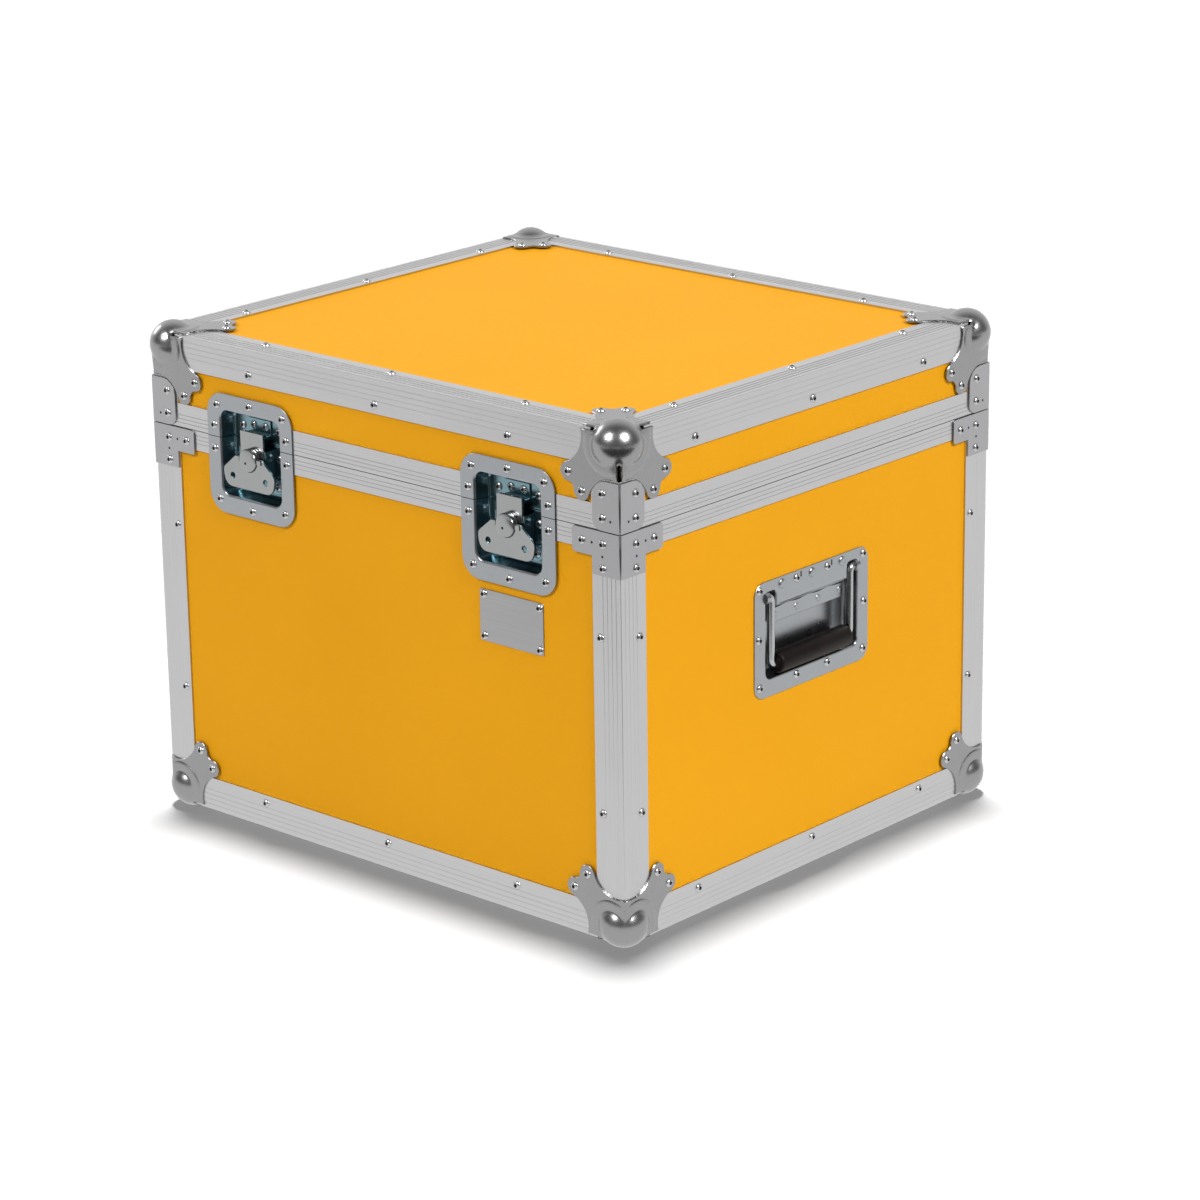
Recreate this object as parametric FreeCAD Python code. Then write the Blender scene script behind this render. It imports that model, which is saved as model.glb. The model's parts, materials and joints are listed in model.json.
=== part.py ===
import FreeCAD, Part
import math
import os

from FreeCAD import Vector

# Sizes are in millimetres. x runs along the front, y towards the back and z up.
# The case stands on its four lower ball corners, which touch z = 0.

# Case, over the outer faces of its extrusions
case_width = 540.0
case_depth = 485.0
base_height = 350.0
lid_height = 83.0
parting_gap = 0.6
panel_thickness = 7.0

# Corner extrusion
edge_leg = 30.0
edge_wall = 1.8
arris_chamfer = 1.0
channel_wall = 1.5
channel_lip = 10.0
base_post_inset = 15.0
groove_width = 0.9
groove_depth = 0.4
groove_first = 5.0
groove_pitch = 4.6
groove_count = 4

# Roundings of pressed and cut outlines are drawn in this many chords for each quarter turn
chords_per_quarter = 4

# Rim extrusions on both sides of the parting line
base_rim = 17.5
lid_rim = 21.5
rim_web = 9.0
rim_groove_first = 4.0
rim_groove_pitch = 3.5
rim_groove_count = 3
tongue_height = 4.0
tongue_root = 3.8
tongue_tip = 2.4
tongue_side_clearance = 0.7
tongue_end_clearance = 1.0

# Pressed ball corners
ball_radius = 19.5
ball_inset = 12.0
corner_sheet = 1.5
arris_slit = 2.0
slit_end = 27.0
fold_overlap = 1.0
lobe_far = 53.5
lobe_near = 39.5
lobe_radius = 8.0
flank_radius = 25.0
flank_neck = 39.0

# Corner braces at the parting line
brace_sheet = 1.5
lid_brace_leg = 28.0
lid_brace_crown = 14.0
lid_brace_heel = 8.0
brace_clearance = 1.2
base_brace_leg = 29.0
base_brace_drop = 37.0
base_brace_arm = 50.0
base_brace_arm_height = 21.8
base_brace_corner = 3.0
brace_rivet_line = 17.8
brace_rivet_first = 10.8
brace_rivet_pitch = 20.2
brace_rivet_arm = 39.8

# Rivet heads
rivet_radius = 3.9
rivet_height = 1.9
rivet_flat_count = 6
edge_rivet_line = 22.5
edge_rivet_pitch = 150.0
post_rivet_first = 110.0

# Latch dish
latch_from_side = 120.0
latch_width = 104.0
latch_above = 40.0
latch_below = 67.0
latch_corner = 19.0
latch_side_flange = 16.0
latch_top_flange = 15.0
latch_bottom_flange = 17.0
latch_mouth_corner = 8.0
latch_depth = 14.0
latch_draft = 3.0
latch_sheet = 1.2
latch_lip = 2.2
recess_clearance = 0.5
latch_corner_rivet = 12.0
latch_upper_rivet = 11.0
latch_side_rivet = 8.0
latch_middle_rivet = 7.0
latch_parting_rivet = 10.5
floor_rivet_offset = 22.0
floor_rivet_drop = 12.4
floor_rivet_rise = 11.4

# Latch mechanism; faces are given by how far they stand behind the case front
hook_face = 1.0
hook_plate = 2.0
hook_half = 14.0
hook_top = 10.3
hook_tail = 13.5
hook_lift = 8.0
claw = 0.9
claw_clearance = 0.5
guide_clearance = 0.4
keeper_plate = 1.5
keeper_half = 13.3
keeper_top = 20.0
keeper_shelf = 6.4
keeper_lip = 1.2
keeper_rivet_half = 7.0
keeper_rivet_rise = 14.2
spindle_drop = 13.5
spindle_head = 10.0
spindle_head_proud = 5.2
cam_radius = 5.8
cam_clearance = 1.2
shaft_radius = 2.6
shaft_end = 8.5
shaft_clearance = 0.05
bed_sheet = 1.5
bed_top = 4.5
bed_bottom = 44.0
bed_waist = 30.0
bed_foot_half = 26.0
bed_foot_corner = 6.0
bed_foot_rivet = 20.5
bed_foot_rivet_rise = 6.5

# Folding butterfly wing
wing_sheet = 2.0
wing_proud = 3.6
wing_cut_clearance = 0.8
wing_shoulder_half = 15.5
wing_shoulder_rise = 2.2
wing_shoulder_corner = 3.0
wing_tip_half = 31.5
wing_tip_drop = 11.0
wing_tip_corner = 6.0
wing_foot_half = 29.0
wing_foot_drop = 26.5
wing_foot_corner = 9.0
wing_hole_half = 20.0
wing_hole_drop = 16.5
wing_hole_radius = 3.0
wing_knuckle = 1.9
wing_pin_radius = 1.0
wing_pin_clearance = 0.05

# Side handles, about the middle of the dish
handle_height = 215.5
handle_width = 152.0
handle_tall = 101.5
handle_corner = 12.0
handle_sheet = 1.2
handle_depth = 14.0
mouth_half = 61.0
mouth_bottom = 35.0
mouth_top = 24.0
mouth_corner = 6.0
ear_inner = 47.5
ear_top = 41.0
bail_radius = 3.5
bail_flat_count = 8
bail_half = 52.5
bail_axis_rise = 36.0
bail_axis_depth = 2.6
bail_bend = 5.0
bail_pin_bend = 4.5
bail_pin_clearance = 0.05
bail_end_clearance = 0.3
hood_wall = 1.5
grip_radius = 9.6
grip_half = 47.0
grip_drop = 23.5
grip_bevel = 1.2
grip_flat_count = 16
cover_half = 48.0
cover_depth = 5.8
cover_sheet = 1.2
cover_bottom = 10.5
cover_dimple_radius = 3.0
cover_dimple_height = 0.6
cover_dimple_rise = 17.0
cover_dimple_half = 43.0
cover_dimple_count = 4
boss_radius = 4.6
boss_height = 1.0
boss_half = 40.0
boss_count = 3
boss_flat_count = 8
handle_rivet_side = 69.0
handle_rivet_top = 44.5
handle_rivet_bottom = 40.5
handle_rivet_third = 20.5
handle_rivet_end = 70.0
handle_rivet_rise = 1.8

# Bare plate below the right latch
plate_width = 70.5
plate_tall = 45.0
plate_sheet = 1.0
plate_below_latch = 7.5
plate_corner = 2.0
plate_rivet_inset = 4.5

# Hinges on the back, opposite the latches
hinge_half = 35.0
hinge_leaf = 2.0
hinge_lower = 46.0
hinge_upper = 40.0
hinge_corner = 8.0
hinge_axis = 3.9
hinge_knuckle = 3.4
hinge_pin_radius = 1.8
hinge_pin_clearance = 0.05
hinge_knuckle_clearance = 0.4
hinge_knuckle_count = 3
hinge_flat_count = 8
hinge_rivet_half = 24.0
hinge_rivet_near = 11.0
hinge_rivet_inset = 8.0

# Places that follow from the sizes above
stand = ball_radius - ball_inset
case_height = base_height + lid_height
parting_z = stand + base_height
top_z = stand + case_height
channel_back = edge_wall + panel_thickness
core = channel_back + channel_wall
tongue_middle = edge_wall + panel_thickness / 2
latch_offset = case_width / 2 - latch_from_side
plate_middle = base_height - latch_below - plate_below_latch - plate_tall / 2

walls = ("front", "right", "back", "left")
quarter_turn = 90
along_x = Vector(1, 0, 0)
along_y = Vector(0, 1, 0)
along_z = Vector(0, 0, 1)


def wall_length(wall):
    """Length of a side wall over the outer faces."""
    return case_width if wall in ("front", "back") else case_depth


def on_wall(shape, wall):
    """Place a shape built on the front wall: x along the wall, y into the case from the outer face."""
    reach = case_depth / 2 if wall in ("front", "back") else case_width / 2
    placed = shape.copy()
    placed.translate(Vector(0, -reach, 0))
    placed.rotate(Vector(), along_z, quarter_turn * walls.index(wall))
    return placed


def at_corners(shape):
    """Four copies of a shape built at the front left corner, x and y pointing into the case."""
    copies = []
    for index in range(4):
        width = case_width if index % 2 == 0 else case_depth
        depth = case_depth if index % 2 == 0 else case_width
        copy = shape.copy()
        copy.translate(Vector(-width / 2, -depth / 2, 0))
        copy.rotate(Vector(), along_z, quarter_turn * index)
        copies.append(copy)
    return copies


def moved(shape, offset):
    """A copy of a shape, shifted."""
    copy = shape.copy()
    copy.translate(offset)
    return copy


def block(low, high):
    """Box between two opposite corners."""
    size = Vector(*high) - Vector(*low)
    return Part.makeBox(size.x, size.y, size.z, Vector(*low))


def rounding(before, corner, after, radius):
    """Points of a rounded corner between two neighbours, in equal chords."""
    back = (before - corner).normalize()
    ahead = (after - corner).normalize()
    half_angle = back.getAngle(ahead) / 2
    middle = corner + (back + ahead).normalize() * (radius / math.sin(half_angle))
    spoke = corner + back * (radius / math.tan(half_angle)) - middle
    sweep = math.pi - 2 * half_angle
    chords = max(1, round(chords_per_quarter * sweep / (math.pi / 2)))
    axis = ahead.cross(back).normalize()
    points = []
    for step in range(chords + 1):
        turn = FreeCAD.Rotation(axis, math.degrees(sweep * step / chords))
        points.append(middle + turn.multVec(spoke))
    return points


def rounded_outline(corners, place):
    """Closed wire through corners (p, q, radius), each rounded; place maps (p, q) to a point."""
    corner_points = [place(p, q) for p, q, radius in corners]
    points = []
    for index, (p, q, radius) in enumerate(corners):
        after = corner_points[(index + 1) % len(corners)]
        if radius > 0:
            points += rounding(corner_points[index - 1], corner_points[index], after, radius)
        else:
            points.append(corner_points[index])
    return Part.makePolygon(points + points[:1])


def on_face(depth):
    """Mapping of (along, up) to the plane at this depth behind the front face."""
    return lambda along, up: Vector(along, depth, up)


def rectangle(half, low, high, corner):
    """Corners of a rectangle that is even about the middle, for rounded_outline."""
    return [(-half, low, corner), (half, low, corner), (half, high, corner), (-half, high, corner)]


def sheet(corners, depth, thickness):
    """Flat plate with a rounded outline, from this depth inwards."""
    return Part.Face(rounded_outline(corners, on_face(depth))).extrude(along_y * thickness)


def section_bar(points, left, right):
    """Straight bar along the wall with a section of (depth, up) points."""
    corners = [Vector(left, depth, up) for depth, up in points]
    return Part.Face(Part.makePolygon(corners + corners[:1])).extrude(along_x * (right - left))


def rod_along_x(radius, left, right, depth, up):
    """Round bar along the wall."""
    return Part.makeCylinder(radius, right - left, Vector(left, depth, up), along_x)


def faceted_rod(radius, flats, left, right, depth, up):
    """Bar along the wall with a number of flats in place of a round."""
    corners = []
    for index in range(flats):
        turn = 2 * math.pi * (index + 0.5) / flats
        corners.append((depth + radius * math.cos(turn), up + radius * math.sin(turn)))
    return section_bar(corners, left, right)


def turned(radius, front, back, along, up):
    """Round bar square to the wall."""
    return Part.makeCylinder(radius, back - front, Vector(along, front, up), along_y)


def chorded(radius, front, back, along, up):
    """Bar square to the wall whose round is drawn in chords."""
    flats = 4 * chords_per_quarter
    turns = [2 * math.pi * index / flats for index in range(flats)]
    corners = [(along + radius * math.cos(turn), up + radius * math.sin(turn), 0) for turn in turns]
    return sheet(corners, front, back - front)


def lying_under_lid(shape):
    """Mirror of a shape built at the bottom of the case, at the same distance below the top."""
    return shape.mirror(Vector(0, 0, (stand + top_z) / 2), along_z)


def grooves(first, pitch, count):
    """Points of the shallow grooves along an outer face, as (distance along it, depth)."""
    points = []
    for index in range(count):
        middle = first + index * pitch
        points += [(middle - groove_width / 2, 0), (middle, groove_depth), (middle + groove_width / 2, 0)]
    return points


def edge_extrusion(place, run):
    """Corner extrusion: two grooved legs, a hollow core and a channel for each panel."""
    leg_end = core + channel_lip
    grooved = grooves(groove_first, groove_pitch, groove_count)
    half = grooved + [(edge_leg, 0), (edge_leg, edge_wall), (core, edge_wall), (core, channel_back)]
    half += [(leg_end, channel_back), (leg_end, core)]
    mirrored = [(q, p) for p, q in reversed(half)]
    outline = [(arris_chamfer, 0)] + half + [(core, core)] + mirrored + [(0, arris_chamfer)]
    outer = Part.Face(Part.makePolygon([place(p, q) for p, q in outline + outline[:1]]))
    hollow = [(edge_wall, edge_wall), (channel_back, edge_wall), (channel_back, channel_back)]
    hollow += [(edge_wall, channel_back), (edge_wall, edge_wall)]
    inner = Part.Face(Part.makePolygon([place(p, q) for p, q in hollow]))
    return outer.extrude(run).cut(inner.extrude(run))


def bottom_edge(wall):
    """Extrusion along the foot of one wall, cut short under the ball corners."""
    half = wall_length(wall) / 2 - edge_leg
    bar = edge_extrusion(lambda p, q: Vector(-half, p, stand + q), along_x * (2 * half))
    return on_wall(bar, wall)


def corner_post(low, high):
    """Upright extrusion at the front left corner."""
    return edge_extrusion(lambda p, q: Vector(p, q, low), along_z * (high - low))


def mitred(bar, wall, low, high):
    """Cut both ends of a wall bar at 45 degrees, so that four of them meet at the corners."""
    half = wall_length(wall) / 2
    plan = [Vector(-half, 0, low), Vector(half, 0, low), Vector(half - core, core, low)]
    plan += [Vector(core - half, core, low), Vector(-half, 0, low)]
    return bar.common(Part.Face(Part.makePolygon(plan)).extrude(along_z * (high - low)))


def base_rim_bar(wall):
    """Grooved rim on the upper edge of a base panel."""
    mouth = tongue_root / 2 + tongue_side_clearance
    bottom = tongue_tip / 2 + tongue_side_clearance
    deep = tongue_height + tongue_end_clearance
    grooved = [(q, -p) for p, q in grooves(rim_groove_first, rim_groove_pitch, rim_groove_count)]
    section = [(0, 0)] + grooved + [(0, -base_rim), (edge_wall, -base_rim), (edge_wall, -rim_web)]
    section += [(channel_back, -rim_web), (channel_back, -base_rim), (core, -base_rim), (core, 0)]
    section += [(tongue_middle + mouth, 0), (tongue_middle + bottom, -deep)]
    section += [(tongue_middle - bottom, -deep), (tongue_middle - mouth, 0)]
    half = wall_length(wall) / 2
    bar = moved(section_bar(section, -half, half), along_z * parting_z)
    return mitred(bar, wall, parting_z - base_rim, parting_z)


def lid_rim_bar(wall):
    """Tongued rim on the lower edge of a lid panel."""
    low = parting_gap
    grooved = [(q, low + p) for p, q in grooves(rim_groove_first, rim_groove_pitch, rim_groove_count)]
    section = [(0, low)] + grooved + [(0, lid_rim), (edge_wall, lid_rim), (edge_wall, rim_web)]
    section += [(channel_back, rim_web), (channel_back, lid_rim), (core, lid_rim), (core, low)]
    section += [(tongue_middle + tongue_root / 2, low), (tongue_middle + tongue_tip / 2, -tongue_height)]
    section += [(tongue_middle - tongue_tip / 2, -tongue_height), (tongue_middle - tongue_root / 2, low)]
    half = wall_length(wall) / 2
    bar = moved(section_bar(section, -half, half), along_z * parting_z)
    return mitred(bar, wall, parting_z - tongue_height, parting_z + lid_rim)


def wall_panel(wall, low, high):
    """Side panel whose edges sit in the channels of the extrusions."""
    half = wall_length(wall) / 2 - core
    return block((-half, edge_wall, low), (half, channel_back, high))


def level_panel(depth_below):
    """Bottom panel; its outer face lies this far above the foot of the case."""
    half_x = case_width / 2 - core
    half_y = case_depth / 2 - core
    low = stand + depth_below
    return block((-half_x, -half_y, low), (half_x, half_y, low + panel_thickness))


def arc_about(centre, radius, start, end):
    """Points in plan round a centre, from one angle to another in degrees, in equal chords."""
    chords = max(1, round(chords_per_quarter * abs(end - start) / 90))
    points = []
    for step in range(chords + 1):
        turn = math.radians(start + (end - start) * step / chords)
        points.append(Vector(centre[0] + radius * math.cos(turn), centre[1] + radius * math.sin(turn), 0))
    return points


def corner_flange():
    """Flange of a ball corner on one face: two rivet lobes, a valley between and hollow flanks."""
    flank_across = flank_neck + flank_radius
    reach = flank_radius + lobe_radius
    flank_up = lobe_near - math.sqrt(reach**2 - (flank_across - lobe_far) ** 2)
    flank_turn = math.degrees(math.atan2(lobe_near - flank_up, lobe_far - flank_across))
    foot_turn = 180 + math.degrees(math.asin((flank_up - arris_slit) / flank_radius))
    foot = flank_across - flank_radius * math.cos(math.radians(foot_turn - 180))
    valley_radius = lobe_far - lobe_near - lobe_radius
    outline = [Vector(arris_slit, arris_slit, 0)]
    outline += arc_about((flank_across, flank_up), flank_radius, foot_turn, flank_turn)
    outline += arc_about((lobe_far, lobe_near), lobe_radius, flank_turn - 180, 90)[1:]
    outline += arc_about((lobe_far, lobe_far), valley_radius, -90, -180)[1:]
    outline += arc_about((lobe_near, lobe_far), lobe_radius, 0, 270 - flank_turn)[1:]
    outline += arc_about((flank_up, flank_across), flank_radius, 90 - flank_turn, 90 - foot_turn)[1:]
    flange = Part.Face(Part.makePolygon(outline + outline[:1])).extrude(along_z * -corner_sheet)
    return flange, foot


def angle_sheet(corners, thickness, low, high):
    """Sheet bent round the upright arris, with the same outline on both faces."""
    leg = sheet(corners, -thickness, thickness)
    other = leg.mirror(Vector(), Vector(1, -1, 0))
    bend = Part.makeCylinder(thickness, high - low, Vector(0, 0, low), along_z, 90)
    bend.rotate(Vector(), along_z, 180)
    return leg.fuse([other, bend]).removeSplitter()


def arris_fold(high):
    """Part of a ball corner that joins two of its flanges round the upright arris, up to a height."""
    low = ball_inset
    leg = arris_slit + fold_overlap
    corners = [(0, low, 0), (leg, low, 0), (leg, high, 0), (0, high, 0)]
    return angle_sheet(corners, corner_sheet, low, high)


def ball_corner(upright_fold):
    """Corner cap: the ball outside the case's corner, a lobed flange on each of three faces, and folds."""
    flange, foot = corner_flange()
    middle = Vector(ball_inset, ball_inset, ball_inset)
    diagonal = Vector(1, 1, 1)
    cap = Part.makeSphere(ball_radius, middle, diagonal).cut(block((0, 0, 0), (foot, foot, foot)))
    for turn in range(3):
        fold = arris_fold(upright_fold if turn == 0 else slit_end)
        for part in (flange.copy(), fold):
            part.rotate(Vector(), diagonal, turn * 120)
            cap = cap.fuse(part)
    return cap.removeSplitter()


def base_ball_corners():
    """Four corner caps under the base, whose upright arris is folded all the way up."""
    foot = corner_flange()[1]
    return at_corners(moved(ball_corner(foot), along_z * stand))


def lid_ball_corners():
    """Four corner caps on the lid, with a slit on every arris."""
    caps = at_corners(moved(ball_corner(slit_end), along_z * stand))
    return [lying_under_lid(cap) for cap in caps]


def lid_brace_height():
    """Height of a lid brace, which stops just short of the ball corner's flange."""
    return lid_height - corner_flange()[1] - brace_clearance


def lid_corner_braces():
    """Four angle braces on the lid, with round shoulders."""
    low = parting_gap
    high = lid_brace_height()
    corners = [(0, low, 0), (lid_brace_leg, low, lid_brace_heel)]
    corners += [(lid_brace_leg, high, lid_brace_crown), (0, high, 0)]
    return at_corners(moved(angle_sheet(corners, brace_sheet, low, high), along_z * parting_z))


def base_corner_braces():
    """Four angle braces on the base, with an arm along each rim."""
    low = -base_brace_drop
    arm_low = -base_brace_arm_height
    corners = [(0, low, 0), (base_brace_leg, low, 0), (base_brace_leg, arm_low, 0)]
    corners += [(base_brace_arm, arm_low, base_brace_corner), (base_brace_arm, 0, base_brace_corner)]
    corners.append((0, 0, 0))
    return at_corners(moved(angle_sheet(corners, brace_sheet, low, 0), along_z * parting_z))


def faceted_stud(radius, crown, height, flats):
    """Low head on the plane y = 0 that narrows along -y to a flat crown, or to a point if crown is 0."""
    rays = []
    for index in range(flats):
        turn = 2 * math.pi * index / flats
        rays.append(Vector(math.cos(turn), 0, math.sin(turn)))
    seat = [ray * radius for ray in rays]
    top = [ray * crown - along_y * height for ray in rays]
    rings = [seat, top] if crown > 0 else [seat]
    for index in range(flats):
        side = [seat[index - 1], seat[index], top[index]]
        rings.append(side + [top[index - 1]] if crown > 0 else side)
    stud = Part.Solid(Part.Shell([Part.Face(Part.makePolygon(ring + ring[:1])) for ring in rings]))
    if stud.Volume < 0:
        stud.reverse()
    return stud


rivet = faceted_stud(rivet_radius, 0, rivet_height, rivet_flat_count)


def wall_rivets(places, depth):
    """Rivet heads on a wall, at (along, up) places, seated at this depth."""
    return [moved(rivet, Vector(along, depth, up)) for along, up in places]


def row(count, pitch):
    """Evenly spaced places about the middle."""
    return [(index - (count - 1) / 2) * pitch for index in range(count)]


def edge_rivets(wall):
    """Rivets of the bottom edge of one wall, on its upright and on its level leg."""
    count = 2 * int((wall_length(wall) / 2 - lobe_far - lobe_radius) / edge_rivet_pitch) + 1
    along = row(count, edge_rivet_pitch)
    upright = wall_rivets([(place, stand + edge_rivet_line) for place in along], 0)
    level = []
    for place in along:
        head = rivet.copy()
        head.rotate(Vector(), along_x, 90)
        head.translate(Vector(place, edge_rivet_line, stand))
        level.append(head)
    return [on_wall(head, wall) for head in upright + level]


def both_faces(heads):
    """Rivets on the front face by the front left corner, and their mirror on the left face."""
    return heads + [head.mirror(Vector(), Vector(1, -1, 0)) for head in heads]


def post_rivets():
    """Rivets of the base posts."""
    first = stand + post_rivet_first
    places = [(edge_rivet_line, first), (edge_rivet_line, first + edge_rivet_pitch)]
    return [head for each in both_faces(wall_rivets(places, 0)) for head in at_corners(each)]


def cap_rivets():
    """Rivets through the lobes of the lower ball corners."""
    places = [(lobe_far, stand + lobe_near), (lobe_near, stand + lobe_far)]
    heads = both_faces(wall_rivets(places, -corner_sheet))
    for along, across in ((lobe_far, lobe_near), (lobe_near, lobe_far)):
        head = rivet.copy()
        head.rotate(Vector(), along_x, 90)
        head.translate(Vector(along, across, stand - corner_sheet))
        heads.append(head)
    return [head for each in heads for head in at_corners(each)]


def brace_rivets(places):
    """Rivets through all braces of one kind, at (along, up) places about the parting line."""
    heads = wall_rivets([(along, parting_z + up) for along, up in places], -brace_sheet)
    return [head for each in both_faces(heads) for head in at_corners(each)]


def base_edge_rivets():
    """All rivets that hold the base's extrusions, ball corners and braces."""
    second = brace_rivet_first + brace_rivet_pitch
    places = [(brace_rivet_line, -brace_rivet_first), (brace_rivet_line, -second)]
    places.append((brace_rivet_arm, -brace_rivet_first))
    heads = [head for wall in walls for head in edge_rivets(wall)]
    return heads + post_rivets() + cap_rivets() + brace_rivets(places)


def lid_edge_rivets():
    """All rivets that hold the lid's extrusions, ball corners and braces."""
    second = brace_rivet_first + brace_rivet_pitch
    places = [(brace_rivet_line, brace_rivet_first), (brace_rivet_line, second)]
    heads = [lying_under_lid(head) for wall in walls for head in edge_rivets(wall)]
    return heads + [lying_under_lid(head) for head in cap_rivets()] + brace_rivets(places)


# Latch pieces are built about the latch's middle, with up measured from the parting line
latch_floor = latch_depth - latch_sheet
mouth_width = latch_width / 2 - latch_side_flange
mouth_high = latch_above - latch_top_flange
mouth_low = latch_bottom_flange - latch_below
lip_front = hook_face + hook_plate + claw + claw_clearance
hook_bottom = -spindle_drop - hook_tail
bridge_front = hook_face + hook_plate + guide_clearance
bed_wall_inner = hook_half + guide_clearance
wing_axis_depth = wing_sheet / 2 - wing_proud


def latch_mouth(grow, depth):
    """Outline of the latch dish's mouth, wider by grow all round."""
    corner = latch_mouth_corner + max(grow, 0)
    corners = rectangle(mouth_width + grow, mouth_low - grow, mouth_high + grow, corner)
    return rounded_outline(corners, on_face(depth))


def latch_dish():
    """Whole pressed dish: flange, leaning walls and floor."""
    face = -latch_sheet
    flange = sheet(rectangle(latch_width / 2, -latch_below, latch_above, latch_corner), face, latch_sheet)
    top_outline = latch_mouth(latch_sheet, face)
    floor_outline = latch_mouth(latch_sheet - latch_draft, latch_floor + latch_sheet)
    body = Part.makeLoft([top_outline, floor_outline], True, True)
    cavity = Part.makeLoft([latch_mouth(0, face), latch_mouth(-latch_draft, latch_floor)], True, True)
    return flange.fuse(body).cut(cavity)


def latch_half(low, high, lip_low):
    """The part of the dish between two heights, with the turned-up lip on its floor at the parting line."""
    reach = latch_width
    cut = latch_dish().common(block((-reach, -reach, low), (reach, reach, high)))
    lip_half = mouth_width - latch_draft
    lip_back = latch_floor + latch_sheet / 2
    lip = block((-lip_half, latch_floor - latch_lip, lip_low), (lip_half, lip_back, lip_low + latch_sheet))
    return cut.fuse(lip).removeSplitter()


def latch_recess():
    """Room for the dish through the front panels and rims."""
    half = mouth_width + latch_sheet + recess_clearance
    low = mouth_low - latch_sheet - recess_clearance
    high = mouth_high + latch_sheet + recess_clearance
    return block((-half, -latch_depth, low), (half, 2 * latch_depth, high))


def keeper():
    """Keeper in the upper dish: a riveted plate with a shelf and a turned-up lip for the hook."""
    shelf_top = keeper_shelf + keeper_plate
    lip_top = shelf_top + keeper_lip
    section = [(latch_floor, keeper_top), (latch_floor, keeper_shelf), (lip_front, keeper_shelf)]
    lip_back = lip_front + keeper_plate
    plate_front = latch_floor - keeper_plate
    section += [(lip_front, lip_top), (lip_back, lip_top), (lip_back, shelf_top)]
    section += [(plate_front, shelf_top), (plate_front, keeper_top)]
    return section_bar(section, -keeper_half, keeper_half)


def hook():
    """Hook plate with its claw and the window that the eccentric works in."""
    plate = sheet(rectangle(hook_half, hook_bottom, hook_top, 0), hook_face, hook_plate)
    back = hook_face + hook_plate
    claw_half = hook_half - hook_plate
    claw_bar = block((-claw_half, back, hook_top - hook_plate), (claw_half, back + claw, hook_top))
    window_half = cam_radius + hook_lift / 2 + cam_clearance / 2
    window_tall = cam_radius + cam_clearance
    middle = -spindle_drop - hook_lift / 2
    window = rectangle(window_half, middle - window_tall, middle + window_tall, 0)
    return plate.fuse(claw_bar).cut(sheet(window, hook_face - hook_plate, 3 * hook_plate)).removeSplitter()


def spindle():
    """Spindle: a round head, the eccentric that works the hook, and the shaft, in one turned piece."""
    cam_front = hook_face - guide_clearance
    cam_back = hook_face + hook_plate + guide_clearance / 2
    head = turned(spindle_head, -spindle_head_proud, cam_front, 0, -spindle_drop)
    cam = chorded(cam_radius, cam_front, cam_back, 0, -spindle_drop - hook_lift / 2)
    shaft = turned(shaft_radius, cam_front, shaft_end, 0, -spindle_drop)
    pin_hole = rod_along_x(wing_pin_radius, -spindle_head, spindle_head, wing_axis_depth, -spindle_drop)
    return head.fuse([cam, shaft]).cut(pin_hole).removeSplitter()


def latch_bed():
    """Bed on the lower dish's floor: a footed plate, two guides for the hook and a bridge for the shaft."""
    wall_outer = bed_wall_inner + bed_sheet
    plate_front = latch_floor - bed_sheet
    outline = [
        (-bed_foot_half, -bed_bottom, bed_foot_corner),
        (bed_foot_half, -bed_bottom, bed_foot_corner),
        (bed_foot_half, -bed_waist, bed_foot_corner),
        (wall_outer, -bed_waist, 0),
        (wall_outer, -bed_top, 0),
        (-wall_outer, -bed_top, 0),
        (-wall_outer, -bed_waist, 0),
        (-bed_foot_half, -bed_waist, bed_foot_corner),
    ]
    bed = sheet(outline, plate_front, bed_sheet)
    guide_front = hook_face + guide_clearance
    for side in (-1, 1):
        ends = sorted((side * bed_wall_inner, side * wall_outer))
        bed = bed.fuse(block((ends[0], guide_front, -bed_waist), (ends[1], plate_front, -bed_top)))
    bridge_back = bridge_front + bed_sheet
    bridge = block((-wall_outer, bridge_front, -bed_waist), (wall_outer, bridge_back, -bed_top))
    hole = turned(shaft_radius + shaft_clearance, hook_face, plate_front, 0, -spindle_drop)
    return bed.fuse(bridge).cut(hole).removeSplitter()


def wing():
    """Butterfly wing: a plate with two finger holes that folds on a pin through the spindle's head."""
    corners = [
        (-wing_foot_half, -wing_foot_drop, wing_foot_corner),
        (wing_foot_half, -wing_foot_drop, wing_foot_corner),
        (wing_tip_half, -wing_tip_drop, wing_tip_corner),
        (wing_shoulder_half, wing_shoulder_rise, wing_shoulder_corner),
        (-wing_shoulder_half, wing_shoulder_rise, wing_shoulder_corner),
        (-wing_tip_half, -wing_tip_drop, wing_tip_corner),
    ]
    wing_plate = sheet(corners, -wing_proud, wing_sheet)
    cut = spindle_head + wing_cut_clearance
    near = wing_axis_depth - wing_knuckle
    far = wing_axis_depth + wing_knuckle
    for side in (-1, 1):
        ends = sorted((side * cut, side * wing_shoulder_half))
        knuckle = block((ends[0], near, -wing_knuckle), (ends[1], far, wing_knuckle))
        hole = chorded(wing_hole_radius, near, far, side * wing_hole_half, -wing_hole_drop)
        wing_plate = wing_plate.fuse(knuckle).cut(hole)
    wing_plate = wing_plate.cut(chorded(cut, near, far, 0, 0))
    bore = wing_pin_radius + wing_pin_clearance
    pin_room = rod_along_x(bore, -wing_shoulder_half, wing_shoulder_half, wing_axis_depth, 0)
    return moved(wing_plate.cut(pin_room).removeSplitter(), along_z * -spindle_drop)


def wing_pin():
    """Pin through the spindle's head and both ears of the wing."""
    half = wing_shoulder_half
    return rod_along_x(wing_pin_radius, -half, half, wing_axis_depth, -spindle_drop)


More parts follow.
